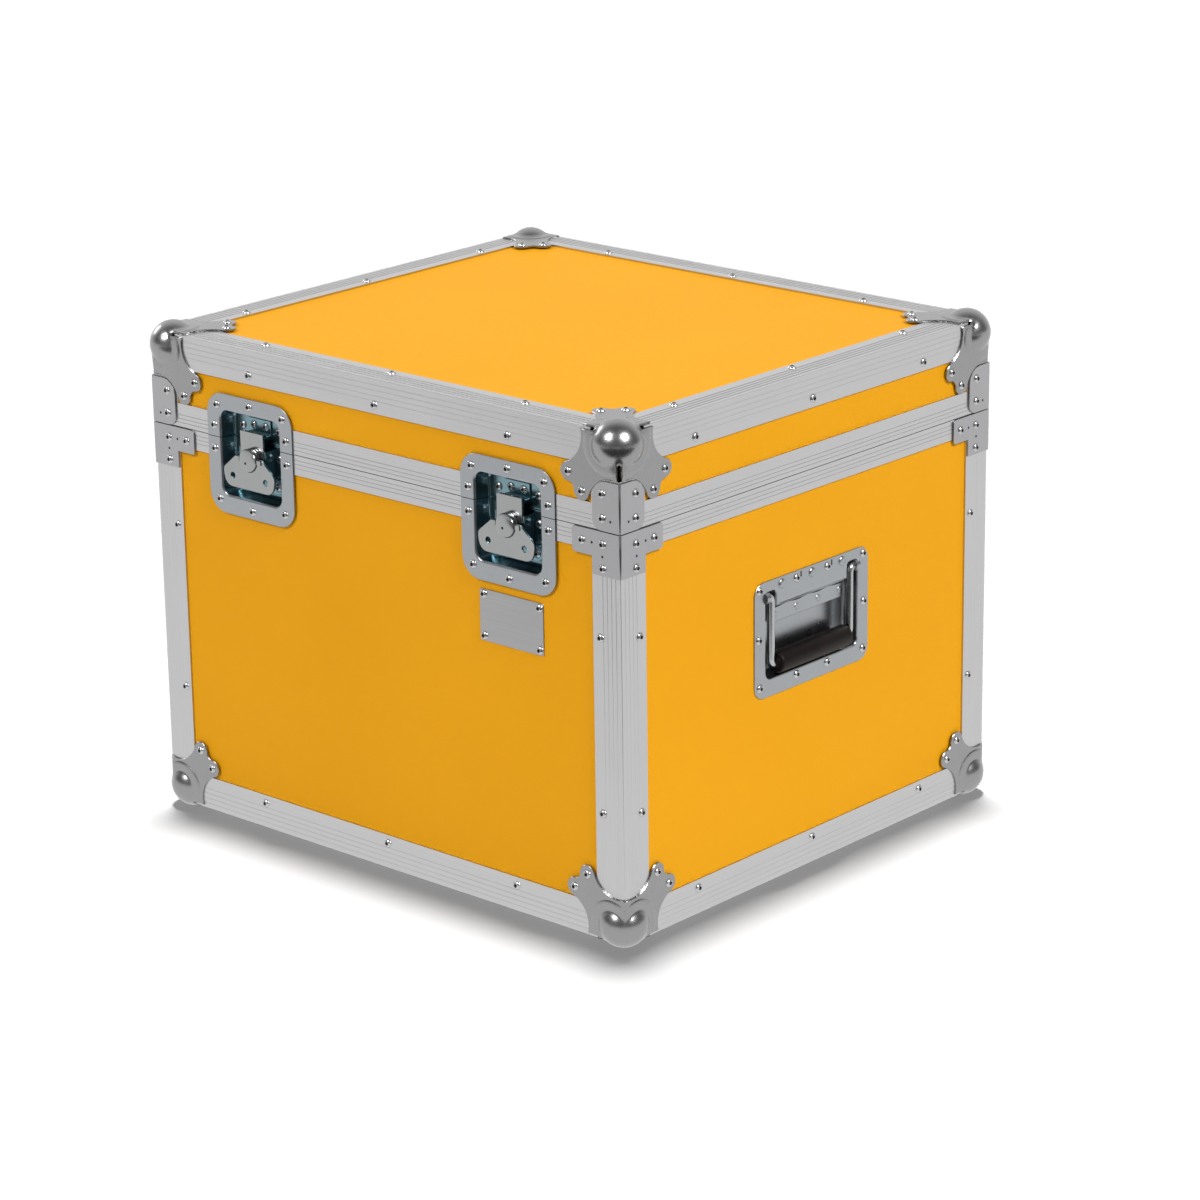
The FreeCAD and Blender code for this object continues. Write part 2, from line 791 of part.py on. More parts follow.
def latch_at(shape, side):
    """Place a latch piece on the front, on the left or on the right."""
    offset = -latch_offset if side == "left" else latch_offset
    return on_wall(moved(shape, Vector(offset, 0, parting_z)), "front")


def latch_flange_rivets(upper):
    """Rivets in the flange of one dish half, on its floor, and on the piece that the floor carries."""
    corner_along = latch_width / 2 - latch_corner_rivet
    side_along = latch_width / 2 - latch_side_rivet
    if upper:
        edge = latch_above - latch_upper_rivet
        middle = latch_above - latch_middle_rivet
        floor = [(side * floor_rivet_offset, floor_rivet_rise) for side in (-1, 1)]
        carried = [(side * keeper_rivet_half, keeper_rivet_rise) for side in (-1, 1)]
        carried_depth = latch_floor - keeper_plate
        parting = latch_parting_rivet
    else:
        edge = latch_corner_rivet - latch_below
        middle = latch_middle_rivet - latch_below
        floor = [(side * floor_rivet_offset, -floor_rivet_drop) for side in (-1, 1)]
        carried = [(side * bed_foot_rivet, bed_foot_rivet_rise - bed_bottom) for side in (-1, 1)]
        carried_depth = latch_floor - bed_sheet
        parting = -latch_parting_rivet
    flange = [(-corner_along, edge), (0, middle), (corner_along, edge)]
    flange += [(-side_along, parting), (side_along, parting)]
    heads = wall_rivets(flange, -latch_sheet) + wall_rivets(floor, latch_floor)
    return heads + wall_rivets(carried, carried_depth)


# Handle pieces are built about the handle's middle
handle_face = edge_wall - handle_sheet
handle_floor = handle_face + handle_depth


def handle_mouth(grow, depth):
    """Outline of the handle dish's mouth with its two ears for the bail's arms, wider by grow all round."""
    side = mouth_half + grow
    top = ear_top + grow
    inner = ear_inner - grow
    shelf = mouth_top + grow
    corners = [
        (-side, -mouth_bottom - grow, mouth_corner + grow),
        (side, -mouth_bottom - grow, mouth_corner + grow),
        (side, top, 0),
        (inner, top, 0),
        (inner, shelf, 0),
        (-inner, shelf, 0),
        (-inner, top, 0),
        (-side, top, 0),
    ]
    return Part.Face(rounded_outline(corners, on_face(depth)))


def handle_dish():
    """Pressed dish with two hoods that the bail's ends turn in and raised bosses above the mouth."""
    half = handle_width / 2
    outline = rectangle(half, -handle_tall / 2, handle_tall / 2, handle_corner)
    dish = sheet(outline, handle_face, handle_sheet)
    pressed = handle_mouth(handle_sheet, handle_face).extrude(along_y * (handle_depth + handle_sheet))
    dish = dish.fuse(pressed).cut(handle_mouth(0, handle_face).extrude(along_y * handle_depth))
    hood_inner = bail_half + bail_pin_bend + bail_end_clearance
    bore = bail_radius + bail_pin_clearance
    for side in (-1, 1):
        left, right = sorted((side * hood_inner, side * (mouth_half + handle_sheet)))
        hood = rod_along_x(bore + hood_wall, left, right, bail_axis_depth, bail_axis_rise)
        left, right = sorted((side * hood_inner, side * mouth_half))
        hole = rod_along_x(bore, left, right, bail_axis_depth, bail_axis_rise)
        dish = dish.fuse(hood).cut(hole)
    boss = faceted_stud(boss_radius, boss_radius - boss_height, boss_height, boss_flat_count)
    for along in row(boss_count, boss_half):
        dish = dish.fuse(moved(boss, Vector(along, handle_face, handle_rivet_top)))
    return dish.removeSplitter()


def handle_recess():
    """Room for the handle dish through a side panel."""
    half = mouth_half + handle_sheet + recess_clearance
    low = -mouth_bottom - handle_sheet - recess_clearance
    high = ear_top + handle_sheet + recess_clearance
    return block((-half, -handle_depth, low), (half, 2 * handle_depth, high))


def handle_cover():
    """Folded strip across the top of the dish, with a row of pressed dimples."""
    back = cover_depth + cover_sheet
    shelf = cover_bottom + cover_sheet
    section = [(cover_depth, cover_bottom), (handle_floor, cover_bottom), (handle_floor, shelf)]
    section += [(back, shelf), (back, mouth_top), (cover_depth, mouth_top)]
    cover = section_bar(section, -cover_half, cover_half)
    pitch = 2 * cover_dimple_half / (cover_dimple_count - 1)
    dimple_crown = cover_dimple_radius - cover_dimple_height
    dimple = faceted_stud(cover_dimple_radius, dimple_crown, cover_dimple_height, boss_flat_count)
    for along in row(cover_dimple_count, pitch):
        cover = cover.fuse(moved(dimple, Vector(along, cover_depth, cover_dimple_rise)))
    return cover.removeSplitter()


def handle_bail():
    """Bent rod: two round pivot ends, two arms and the bar that the grip sits on."""
    place = on_face(bail_axis_depth)
    knee = bail_half + bail_pin_bend
    end = mouth_half - bail_end_clearance
    axis = bail_axis_rise
    corners = [place(-knee, axis), place(-bail_half, axis), place(-bail_half, -grip_drop)]
    corners += [place(bail_half, -grip_drop), place(bail_half, axis), place(knee, axis)]
    bends = [bail_pin_bend, bail_bend, bail_bend, bail_pin_bend]
    path = []
    for index, bend in enumerate(bends):
        path += rounding(corners[index], corners[index + 1], corners[index + 2], bend)
    straight = faceted_rod(bail_radius, bail_flat_count, -knee, 0, bail_axis_depth, axis)
    section = min(straight.Faces, key=lambda face: face.CenterOfMass.x).OuterWire
    mitre_bends = 1
    bail = Part.makePolygon(path).makePipeShell([section], True, False, mitre_bends)
    for side in (-1, 1):
        ends = sorted((side * knee, side * end))
        bail = bail.fuse(rod_along_x(bail_radius, ends[0], ends[1], bail_axis_depth, axis))
    return bail


def handle_grip():
    """Moulded grip on the bar of the bail, with bevelled ends."""
    grip = faceted_rod(grip_radius, grip_flat_count, -grip_half, grip_half, bail_axis_depth, -grip_drop)
    rims = [edge for edge in grip.Edges if abs(edge.CenterOfMass.x) > grip_half - grip_bevel]
    grip = grip.makeChamfer(grip_bevel, rims)
    bar = faceted_rod(bail_radius, bail_flat_count, -grip_half, grip_half, bail_axis_depth, -grip_drop)
    return grip.cut(bar)


def handle_at(shape, side):
    """Place a handle piece on a side wall."""
    return on_wall(moved(shape, along_z * (stand + handle_height)), side)


def handle_rivets():
    """Rivets round the flange of a handle dish."""
    places = []
    for along in (handle_rivet_side, handle_rivet_third, -handle_rivet_third, -handle_rivet_side):
        places += [(along, handle_rivet_top), (along, -handle_rivet_bottom)]
    places += [(-handle_rivet_end, handle_rivet_rise), (handle_rivet_end, handle_rivet_rise)]
    return wall_rivets(places, handle_face)


def blank_plate():
    """Bare plate on the front panel."""
    corners = rectangle(plate_width / 2, -plate_tall / 2, plate_tall / 2, plate_corner)
    return plate_place(sheet(corners, edge_wall - plate_sheet, plate_sheet))


def plate_place(shape):
    """Place a shape about the middle of the bare plate."""
    return on_wall(moved(shape, Vector(latch_offset, 0, stand + plate_middle)), "front")


def plate_rivets():
    """Rivets in the corners of the bare plate."""
    along = plate_width / 2 - plate_rivet_inset
    up = plate_tall / 2 - plate_rivet_inset
    places = [(-along, -up), (along, -up), (along, up), (-along, up)]
    return [plate_place(head) for head in wall_rivets(places, edge_wall - plate_sheet)]


def hinge_leaf_piece(first, low, high):
    """One leaf between two heights from the parting line, with every other knuckle from the first."""
    near = hinge_knuckle
    rises = high > 0
    leaf_low = near if rises else low
    leaf_high = high if rises else -near
    corners = rectangle(hinge_half, leaf_low, leaf_high, 0)
    outer = (2, 3) if rises else (0, 1)
    corners = [(p, q, hinge_corner if index in outer else 0) for index, (p, q, r) in enumerate(corners)]
    leaf = sheet(corners, -hinge_leaf, hinge_leaf)
    pitch = 2 * hinge_half / hinge_knuckle_count
    for index in range(first, hinge_knuckle_count, 2):
        left = index * pitch - hinge_half + hinge_knuckle_clearance / 2
        right = left + pitch - hinge_knuckle_clearance
        tab_low = 0 if rises else -near
        tab = block((left, -hinge_leaf, tab_low), (right, 0, tab_low + near))
        leaf = leaf.fuse([tab, faceted_rod(hinge_knuckle, hinge_flat_count, left, right, -hinge_axis, 0)])
    bore = hinge_pin_radius + hinge_pin_clearance
    return leaf.cut(rod_along_x(bore, -hinge_half, hinge_half, -hinge_axis, 0)).removeSplitter()


def hinge_pin():
    """Pin through all knuckles."""
    return rod_along_x(hinge_pin_radius, -hinge_half, hinge_half, -hinge_axis, 0)


def at_hinges(shape):
    """Two copies of a hinge piece on the back."""
    places = [Vector(side * latch_offset, 0, parting_z) for side in (-1, 1)]
    return [on_wall(moved(shape, place), "back") for place in places]


def hinge_rivets(near, far):
    """Rivets of one leaf on both hinges."""
    places = [(side * hinge_rivet_half, up) for side in (-1, 1) for up in (near, far)]
    return [copy for head in wall_rivets(places, -hinge_leaf) for copy in at_hinges(head)]


def base_hardware_rivets():
    """Rivets of the fittings on the base."""
    heads = [latch_at(head, side) for side in ("left", "right") for head in latch_flange_rivets(False)]
    heads += [handle_at(head, side) for side in ("left", "right") for head in handle_rivets()]
    return heads + plate_rivets() + hinge_rivets(-hinge_rivet_near, hinge_rivet_inset - hinge_lower)


def lid_hardware_rivets():
    """Rivets of the fittings on the lid."""
    heads = [latch_at(head, side) for side in ("left", "right") for head in latch_flange_rivets(True)]
    return heads + hinge_rivets(hinge_rivet_near, hinge_upper - hinge_rivet_inset)


def build_nodes():
    """All pieces by name."""
    nodes = {}
    recesses = [latch_at(latch_recess(), side) for side in ("left", "right")]
    panel_low = stand + core
    panel_high = parting_z - rim_web
    for wall in walls:
        base_panel = on_wall(wall_panel(wall, panel_low, panel_high), wall)
        lid_panel = on_wall(wall_panel(wall, parting_z + rim_web, top_z - core), wall)
        base_bar = on_wall(base_rim_bar(wall), wall)
        lid_bar = on_wall(lid_rim_bar(wall), wall)
        if wall == "front":
            for recess in recesses:
                base_panel = base_panel.cut(recess)
                lid_panel = lid_panel.cut(recess)
                base_bar = base_bar.cut(recess)
                lid_bar = lid_bar.cut(recess)
        if wall in ("left", "right"):
            base_panel = base_panel.cut(handle_at(handle_recess(), wall))
        nodes["base_" + wall + "_panel"] = [base_panel]
        nodes["lid_" + wall + "_panel"] = [lid_panel]
        nodes["base_" + wall + "_rim"] = base_bar.Solids
        nodes["lid_" + wall + "_rim"] = lid_bar.Solids
        nodes["base_" + wall + "_edge"] = [bottom_edge(wall)]
        nodes["lid_" + wall + "_edge"] = [lying_under_lid(bottom_edge(wall))]
    nodes["base_bottom_panel"] = [level_panel(edge_wall)]
    nodes["lid_top_panel"] = [lying_under_lid(level_panel(edge_wall))]
    nodes["base_corner_posts"] = at_corners(corner_post(stand + base_post_inset, parting_z - base_rim))
    lid_post_top = top_z - corner_flange()[1]
    nodes["lid_corner_posts"] = at_corners(corner_post(parting_z + lid_rim, lid_post_top))
    nodes["base_ball_corners"] = base_ball_corners()
    nodes["lid_ball_corners"] = lid_ball_corners()
    nodes["base_corner_braces"] = base_corner_braces()
    nodes["lid_corner_braces"] = lid_corner_braces()
    nodes["base_edge_rivets"] = base_edge_rivets()
    nodes["lid_edge_rivets"] = lid_edge_rivets()
    nodes["base_hardware_rivets"] = base_hardware_rivets()
    nodes["lid_hardware_rivets"] = lid_hardware_rivets()
    nodes["blank_plate"] = [blank_plate()]
    lower_dish = latch_half(-latch_below, 0, -latch_sheet)
    upper_dish = latch_half(parting_gap, latch_above, parting_gap)
    nodes["latch_lower_dishes"] = [latch_at(lower_dish, side) for side in ("left", "right")]
    nodes["latch_upper_dishes"] = [latch_at(upper_dish, side) for side in ("left", "right")]
    nodes["latch_beds"] = [latch_at(latch_bed(), side) for side in ("left", "right")]
    nodes["latch_keepers"] = [latch_at(keeper(), side) for side in ("left", "right")]
    nodes["handle_covers"] = [handle_at(handle_cover(), side) for side in ("left", "right")]
    for side in ("left", "right"):
        nodes["latch_hook_" + side] = [latch_at(hook(), side)]
        nodes["latch_spindle_" + side] = [latch_at(spindle(), side)]
        nodes["latch_wing_" + side] = [latch_at(wing(), side)]
        nodes["latch_wing_pin_" + side] = [latch_at(wing_pin(), side)]
        nodes["handle_dish_" + side] = [handle_at(handle_dish(), side)]
        nodes["handle_bail_" + side] = [handle_at(handle_bail(), side)]
        nodes["handle_grip_" + side] = [handle_at(handle_grip(), side)]
    nodes["hinge_lower_leaves"] = at_hinges(hinge_leaf_piece(0, -hinge_lower, 0))
    nodes["hinge_upper_leaves"] = at_hinges(hinge_leaf_piece(1, 0, hinge_upper))
    nodes["hinge_pins"] = at_hinges(hinge_pin())
    return nodes


os.makedirs("parts", exist_ok=True)
for name, solids in build_nodes().items():
    shape = solids[0] if len(solids) == 1 else Part.Compound(solids)
    shape.exportStep("parts/" + name + ".step")
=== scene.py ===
import json
import math

import bmesh
import bpy
from mathutils import Matrix, Vector


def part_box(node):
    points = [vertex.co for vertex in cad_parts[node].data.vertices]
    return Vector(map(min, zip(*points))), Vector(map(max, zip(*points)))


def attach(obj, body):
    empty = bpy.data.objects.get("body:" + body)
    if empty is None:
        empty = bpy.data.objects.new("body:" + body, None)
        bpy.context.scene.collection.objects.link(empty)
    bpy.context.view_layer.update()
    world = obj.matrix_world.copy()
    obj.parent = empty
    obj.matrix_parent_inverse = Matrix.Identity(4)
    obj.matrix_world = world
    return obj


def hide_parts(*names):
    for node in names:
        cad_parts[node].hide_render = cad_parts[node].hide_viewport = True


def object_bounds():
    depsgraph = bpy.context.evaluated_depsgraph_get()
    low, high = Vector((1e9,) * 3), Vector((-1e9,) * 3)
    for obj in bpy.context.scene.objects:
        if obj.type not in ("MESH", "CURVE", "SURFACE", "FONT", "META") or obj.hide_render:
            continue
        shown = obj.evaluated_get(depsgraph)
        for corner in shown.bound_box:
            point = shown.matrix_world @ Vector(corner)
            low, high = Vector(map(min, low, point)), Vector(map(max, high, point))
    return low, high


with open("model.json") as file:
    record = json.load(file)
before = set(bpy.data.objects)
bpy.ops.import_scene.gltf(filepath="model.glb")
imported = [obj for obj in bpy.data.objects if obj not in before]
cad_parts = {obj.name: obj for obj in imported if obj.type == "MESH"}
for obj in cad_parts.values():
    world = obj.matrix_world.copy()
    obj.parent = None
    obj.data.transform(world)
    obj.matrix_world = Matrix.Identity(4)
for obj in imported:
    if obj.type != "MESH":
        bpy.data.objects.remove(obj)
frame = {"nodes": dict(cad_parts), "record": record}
cad_low, cad_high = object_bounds()
nodes = frame["nodes"]
record = frame["record"]
node_body = {node: body for body, members in record["behaviour"]["bodies"].items() for node in members}
node_slot = {part["node"]: part["material_slot"] for part in record["subparts"]}

# Units, and how near points count as one or as lying on a plane
mm = 0.001
weld = 0.001 * mm
on_plane = 0.02 * mm

# Camera, as the photograph was taken
camera_azimuth = math.radians(41.89)
camera_elevation = math.radians(18.0)
camera_roll = math.radians(-0.85)
camera_place = Vector((2271.6, -2498.9, 1284.4)) * mm
camera_lens = 120.24
camera_sensor = 36.0
camera_far = 100.0

# Case, over the outer faces of its extrusions, with how far the balls stand proud and how deep the skin goes
ball_proud = 7.5 * mm
half_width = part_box("base_corner_posts")[1].x
half_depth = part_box("base_corner_posts")[1].y
foot_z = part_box("base_front_edge")[0].z
top_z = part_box("lid_front_edge")[1].z
parting_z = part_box("base_corner_braces")[1].z
skin_depth = 4.0 * mm

# Edges: the fold in degrees above which they are softened or stay crisp, and how far they are softened
flat_fold = 1
keen_fold = 40
crisp_fold = 32
dish_crisp_fold = 35
extrusion_crisp_fold = 5
grip_crisp_fold = 60
edge_softness = 0.35 * mm
fine_softness = 0.3 * mm
edge_steps = 2
sliver = 0.002 * mm
broad_face = 25 * mm * mm
broad_brace_face = 100 * mm * mm

# Extrusions: the grooves and the arris as the CAD cuts them, and as fine as they show
groove_depth = 0.4 * mm
groove_slope = (0.3 * mm, 0.6 * mm)
groove_line = 0.11 * mm
top_groove_line = 1.0 * mm
top_groove_spread = 0.5 * mm
lid_groove_line = 0.075 * mm
arris_chamfer = 1.0 * mm
arris_line = 0.25 * mm

# Rivet heads, pressed domes, and the plugs of near-black painted shade that show as holes
rivet_radius = 3.9 * mm
rivet_height = 1.9 * mm
rivet_turns = (25, 46, 61)
rivet_rim = 0.905
rivet_hole = 1.65 * mm
rivet_hole_depth = 1.2 * mm
rivet_hole_taper = 0.85
rivet_steps = 14
seat_level = 0.99
dome_profile = ((1.0, 0.0), (0.94, 0.4), (0.74, 0.76), (0.42, 0.95), (0.0, 1.0))
dome_steps = 20
turned_steps = 40
seat_sink = 0.3 * mm
plug_depth = 0.8 * mm
plug_proud = 0.02 * mm
plug_sides = 14

# Ball corners, in millimetres from the case's corner
ball_radius = 21.0
ball_inset = 13.56
cap_sheet = 1.5
cap_edge = 0.4
fold_radius = 4.2
ball_blend = 0.9
crown_fade = 4.0
ring_radius = 23.7
ring_slope = 1.6
ring_rise = 0.7
ring_fade = 9.0
ring_margin = 0.97
cap_spans = (3.1, 6.2, 8.8, 10.9, 12.5, 13.6, 14.6, 15.6, 16.8, 18.7, 21.9, 22.4, 23.0, 23.4, 23.8)
cap_weld = 0.005 * mm
slit_half = 2.0
slit_end = 28.5
slit_side = 5.0
upright_top = 40.0
arris_steps = 18
lobe_far = 53.5
lobe_near = 39.5
lobe_radius = 8.0
flank_radius = 25.0
flank_neck = 39.0
closing_depth = 4.0
evening = 0.05
halvings = 22

# Corner braces, in millimetres from the case's corner and the parting line
brace_sheet = 1.5
brace_fold = 2.2
brace_fold_steps = 5
brace_hole = 1.1
base_brace_holes = ((28.8, -10.8), (17.8, -20.9))
lid_brace_holes = ((8.8, 9.6),)

# Latches, in millimetres about the middle and the parting line; outlines as half, low, high and corner
latch_offset = 150.0
latch_outline = (52.0, -67.0, 40.0, 19.0)
mouth_outline = (36.0, -50.0, 25.0, 8.0)
mouth_round = 1.7
mouth_apron = 1.0
mouth_back = 0.5
dish_sheet = 1.2
latch_floor = 12.8
latch_draft = 3.0
# Depth beyond which the dish's faces take the darker, bluer steel of painted shade inside the recess
inside_shade_depth = 1.5 * mm
floor_round = 2.5
floor_margin = 0.8
flange_edge = 0.3
lip_rise = 2.2
parting_gap = 0.6
quarter_turns = [math.radians(90 - 22.5 * step) for step in range(5)]

# Latch spindles, turned from (radius, depth) points, and the punched mark on the head, shown as a spot of
# painted shade
spindle_drop = 13.5
head_proud = 5.2
head_profile = (
    (0, -head_proud), (9.2, -head_proud), (9.75, -5.0), (10.0, -4.5), (10.0, -2.4), (9.6, -2.1), (8.4, -2.0),
    (8.4, -1.2), (9.6, -1.1), (10.0, -0.8), (10.0, 0.3), (9.7, 0.6), (0, 0.6),
)
cam_profile = ((0, 0.6), (5.8, 0.6), (5.8, 3.2), (0, 3.2))
cam_throw = 4.0
shaft_profile = ((0, 3.2), (2.6, 3.2), (2.6, 8.5), (0, 8.5))
mark_along = -2.4
mark_up = -2.7
mark_radius = 1.2

# Handles, in millimetres about the middle of the dish
handle_height = 215.5
bail_radius = 3.5
bail_sides = 20
bail_half = 52.5
bail_rise = 36.0
bail_depth = 2.6
bail_bend = 5.0
bail_pin_bend = 4.5
bail_end = 60.7
bend_count = 8
bowl_face = 0.6
bowl_floor = bowl_face + 14.0
bowl_width = 76.0
bowl_tall = 50.75
bowl_edge = 12.0
bowl_top_run = 58.0
bowl_half = 61.0
bowl_low = -35.0
bowl_corner = 6.0
bowl_draft = 1.5
bowl_round = 1.5
bowl_apron = 1.0
bowl_back = 0.2
ear_inner = 47.5
ear_top = 41.0
ear_corner = 3.5
ear_least = 0.4
hollow_least = 2.0
shelf_up = 24.0
shelf_back = 1.7
shoulder_rise = 7.0
shoulder_depth = 5.8
hood_start = 57.3
hood_end = 62.2
hood_radius = 5.05
hood_sides = 28
boss_places = (-40.0, 0.0, 40.0)
boss_up = 44.5
boss_radius = 4.4
boss_height = 1.5
slot_places = (-14.9, 26.1)
slot_half = 0.8
slot_low = -0.3
slot_high = 4.7
cover_half = 47.5
cover_steps = 60
cover_front = 5.8
cover_back = 6.6
cover_low = 10.5
cover_top = 23.3
cover_sheet = 1.0
cover_edge = 0.4
cover_wave = 0.5
cover_pitch = 27.0
gap_low = 13.5
gap_back = 0.3
dimple_places = (-43.0, -14.3, 14.3, 43.0)
dimple_up = 17.0
dimple_radius = 3.0
dimple_height = 0.6
grip_radius = 9.6
grip_half = 47.0
grip_drop = 23.5
grip_round = 2.0

# Stage in metres: the floor, a glowing sheet above it that paints an unshadowed floor into reflections, and
# the dark card that lies from the case towards the camera and paints a dark reflection
floor_reach = 15.0
floor_shade = 0.15
glow_lift = 0.5 * mm
card_lift = 1 * mm
card_near = 0.72
card_far = 6.0
card_half = 3.0
card_shade = 0.02

# Lights: the way they stand in, their strength and width in degrees, and for the case's if metal mirrors them
backdrop_way = (-0.67, 0.74, 0.05)
room_shade = 0.16
backdrop_shade = 0.95
floor_light = ((-0.061, 0.073, 1.0), 16.8, 7.2)
floor_fill = ((0, 0, 1.0), 4.6, 7.2)
edge_light = ((0, 0, 1.0), 0.6, 60)
case_light_width = 22
case_lights = (
    ("overhead", (-0.06, 0.066, 1.0), 0.3, False),
    ("back light", (0, 0.995, 0.1), 0.9, False),
    ("front light", (-0.13, -0.755, 0.643), 2.12, True),
    ("right light", (0.762, -0.074, 0.643), 3.36, True),
    ("left light", (-0.93, 0.04, 0.36), 0.5, True),
)


def feed(tree, node, inputs):
    """Set a node's inputs to values, or link them to the outputs of other nodes."""
    for name, value in inputs.items():
        if isinstance(value, bpy.types.NodeSocket):
            tree.links.new(value, node.inputs[name])
        else:
            node.inputs[name].default_value = value


def add_node(tree, kind, inputs, **fields):
    """A shader node with its fields and inputs set."""
    node = tree.nodes.new("ShaderNode" + kind)
    for name, value in fields.items():
        setattr(node, name, value)
    feed(tree, node, inputs)
    return node


def new_finish(name, metallic, roughness):
    """A material with its node tree and shader."""
    finish = bpy.data.materials.new(name)
    finish.use_nodes = True
    tree = finish.node_tree
    shader = tree.nodes["Principled BSDF"]
    feed(tree, shader, {"Metallic": metallic, "Roughness": roughness})
    return finish, tree, shader


def object_pattern(tree, kind, scale, stretch=(1, 1, 1), **settings):
    """A texture on Object coordinates, stretched along the piece's axes."""
    coordinates = add_node(tree, "TexCoord", {})
    mapping = add_node(tree, "Mapping", {"Vector": coordinates.outputs["Object"], "Scale": stretch})
    return add_node(tree, kind, {"Vector": mapping.outputs["Vector"], "Scale": scale, **settings})


def noise(tree, scale, stretch=(1, 1, 1), **settings):
    """Value of a noise texture."""
    return object_pattern(tree, "TexNoise", scale, stretch, **settings).outputs["Fac"]


def ramp(tree, source, low, high, low_colour, high_colour):
    """Colours between two values of a pattern."""
    node = add_node(tree, "ValToRGB", {"Fac": source})
    for element, place, colour in zip(node.color_ramp.elements, (low, high), (low_colour, high_colour)):
        element.position = place
        element.color = (*colour, 1)
    return node.outputs["Color"]


def spread(tree, source, low, high):
    """A pattern's value brought between two limits."""
    return add_node(tree, "MapRange", {"Value": source, "To Min": low, "To Max": high}).outputs["Result"]


def reckon(tree, operation, first, second):
    """A sum of two values."""
    return add_node(tree, "Math", {0: first, 1: second}, operation=operation).outputs["Value"]


def relief(tree, height, strength, distance):
    """Surface normal with the relief of a pattern."""
    bump = add_node(tree, "Bump", {"Strength": strength, "Distance": distance, "Height": height})
    return bump.outputs["Normal"]


def outer_skin_mask(tree):
    """1 on faces near the case's outer faces and 0 deeper inside, from Object coordinates."""
    place = add_node(tree, "TexCoord", {}).outputs["Object"]
    centre = (cad_low + cad_high) / 2
    shifted = add_node(tree, "VectorMath", {0: place, 1: centre}, operation="SUBTRACT").outputs["Vector"]
    size = add_node(tree, "VectorMath", {0: shifted}, operation="ABSOLUTE").outputs["Vector"]
    axes = add_node(tree, "SeparateXYZ", {"Vector": size})
    mask = None
    for axis, reach in zip("XYZ", (cad_high - cad_low) / 2):
        outside = reckon(tree, "GREATER_THAN", axes.outputs[axis], reach - ball_proud - skin_depth)
        mask = reckon(tree, "MAXIMUM", mask, outside) if mask else outside
    return mask


def board_finish():
    """Plywood board with a grained yellow skin on its outer side."""
    finish, tree, shader = new_finish("grained yellow board", 0.0, 0.42)
    pebbles = object_pattern(tree, "TexVoronoi", 620.0).outputs["Distance"]
    creases = noise(tree, 260.0, Detail=6.0, Roughness=0.65)
    shade = noise(tree, 5.0, Detail=2.0)
    yellow = ramp(tree, shade, 0.3, 0.7, (0.605, 0.268, 0.005), (0.63, 0.282, 0.006))
    grain = noise(tree, 60.0, (0.12, 1.0, 1.0), Detail=8.0, Distortion=0.6)
    wood = ramp(tree, grain, 0.3, 0.75, (0.40, 0.24, 0.12), (0.62, 0.43, 0.25))
    skin = add_node(tree, "Mix", {"Factor": outer_skin_mask(tree), "A": wood, "B": yellow}, data_type="RGBA")
    feed(tree, shader, {
        "Base Color": skin.outputs["Result"],
        "Roughness": spread(tree, creases, 0.36, 0.52),
        "Normal": relief(tree, reckon(tree, "ADD", pebbles, creases), 0.35, 0.3 * mm),
        "Specular IOR Level": 0.02,
    })
    return finish


def lines_along(way):
    """Stretch of a pattern that makes fine lines along one axis."""
    return [0.01 if axis == way else 1.0 for axis in "xyz"]


def drawn_metal(name, colour, roughness, stretch, contrast):
    """Metal with fine lines from drawing or brushing; stretch sets the way they run."""
    finish, tree, shader = new_finish(name, 1.0, roughness)
    lines = noise(tree, 900.0, stretch, Detail=4.0, Roughness=0.7)
    cloud = noise(tree, 14.0, Detail=3.0)
    dark = [channel * (1 - contrast) for channel in colour]
    clouded = reckon(tree, "MULTIPLY", lines, cloud)
    feed(tree, shader, {
        "Base Color": ramp(tree, lines, 0.25, 0.75, dark, colour),
        "Roughness": spread(tree, clouded, roughness * 0.75, roughness * 1.6),
        "Normal": relief(tree, lines, 0.08, 0.05 * mm),
    })
    return finish


def plated_metal(name, colour, roughness):
    """Zinc-plated pressed steel with a faint cloudy lustre."""
    finish, tree, shader = new_finish(name, 1.0, roughness)
    cloud = noise(tree, 90.0, Detail=5.0, Roughness=0.6)
    speck = noise(tree, 1500.0, Detail=2.0)
    dark = [channel * 0.95 for channel in colour]
    feed(tree, shader, {
        "Base Color": ramp(tree, cloud, 0.3, 0.7, dark, colour),
        "Roughness": spread(tree, cloud, roughness * 0.85, roughness * 1.2),
        "Normal": relief(tree, speck, 0.03, 0.03 * mm),
    })
    return finish


def grip_finish():
    """Black moulded grip, slightly worn."""
    finish, tree, shader = new_finish("black grip", 0.0, 0.4)
    speck = noise(tree, 1200.0, Detail=3.0)
    cloud = noise(tree, 60.0, Detail=3.0)
    feed(tree, shader, {
        "Base Color": ramp(tree, cloud, 0.3, 0.7, (0.0035, 0.002, 0.0017), (0.007, 0.004, 0.0033)),
        "Roughness": spread(tree, cloud, 0.3, 0.5),
        "Normal": relief(tree, speck, 0.2, 0.1 * mm),
        "Specular IOR Level": 0.15,
    })
    return finish


def painted_shade_finish():
    """Painted shade: a near-black finish standing for the shadowed bottom of holes, slots and gaps."""
    finish, tree, shader = new_finish("painted shade in holes", 0.6, 0.6)
    feed(tree, shader, {"Base Color": (0.006, 0.006, 0.006, 1)})
    return finish


def finished_mesh(shape, name):
    """Mesh of a bmesh that is done with."""
    mesh = bpy.data.meshes.new(name)
    shape.to_mesh(mesh)
    shape.free()
    return mesh


def add_object(name, data):
    """A new object in the scene."""
    item = bpy.data.objects.new(name, data)
    bpy.context.scene.collection.objects.link(item)
    return item


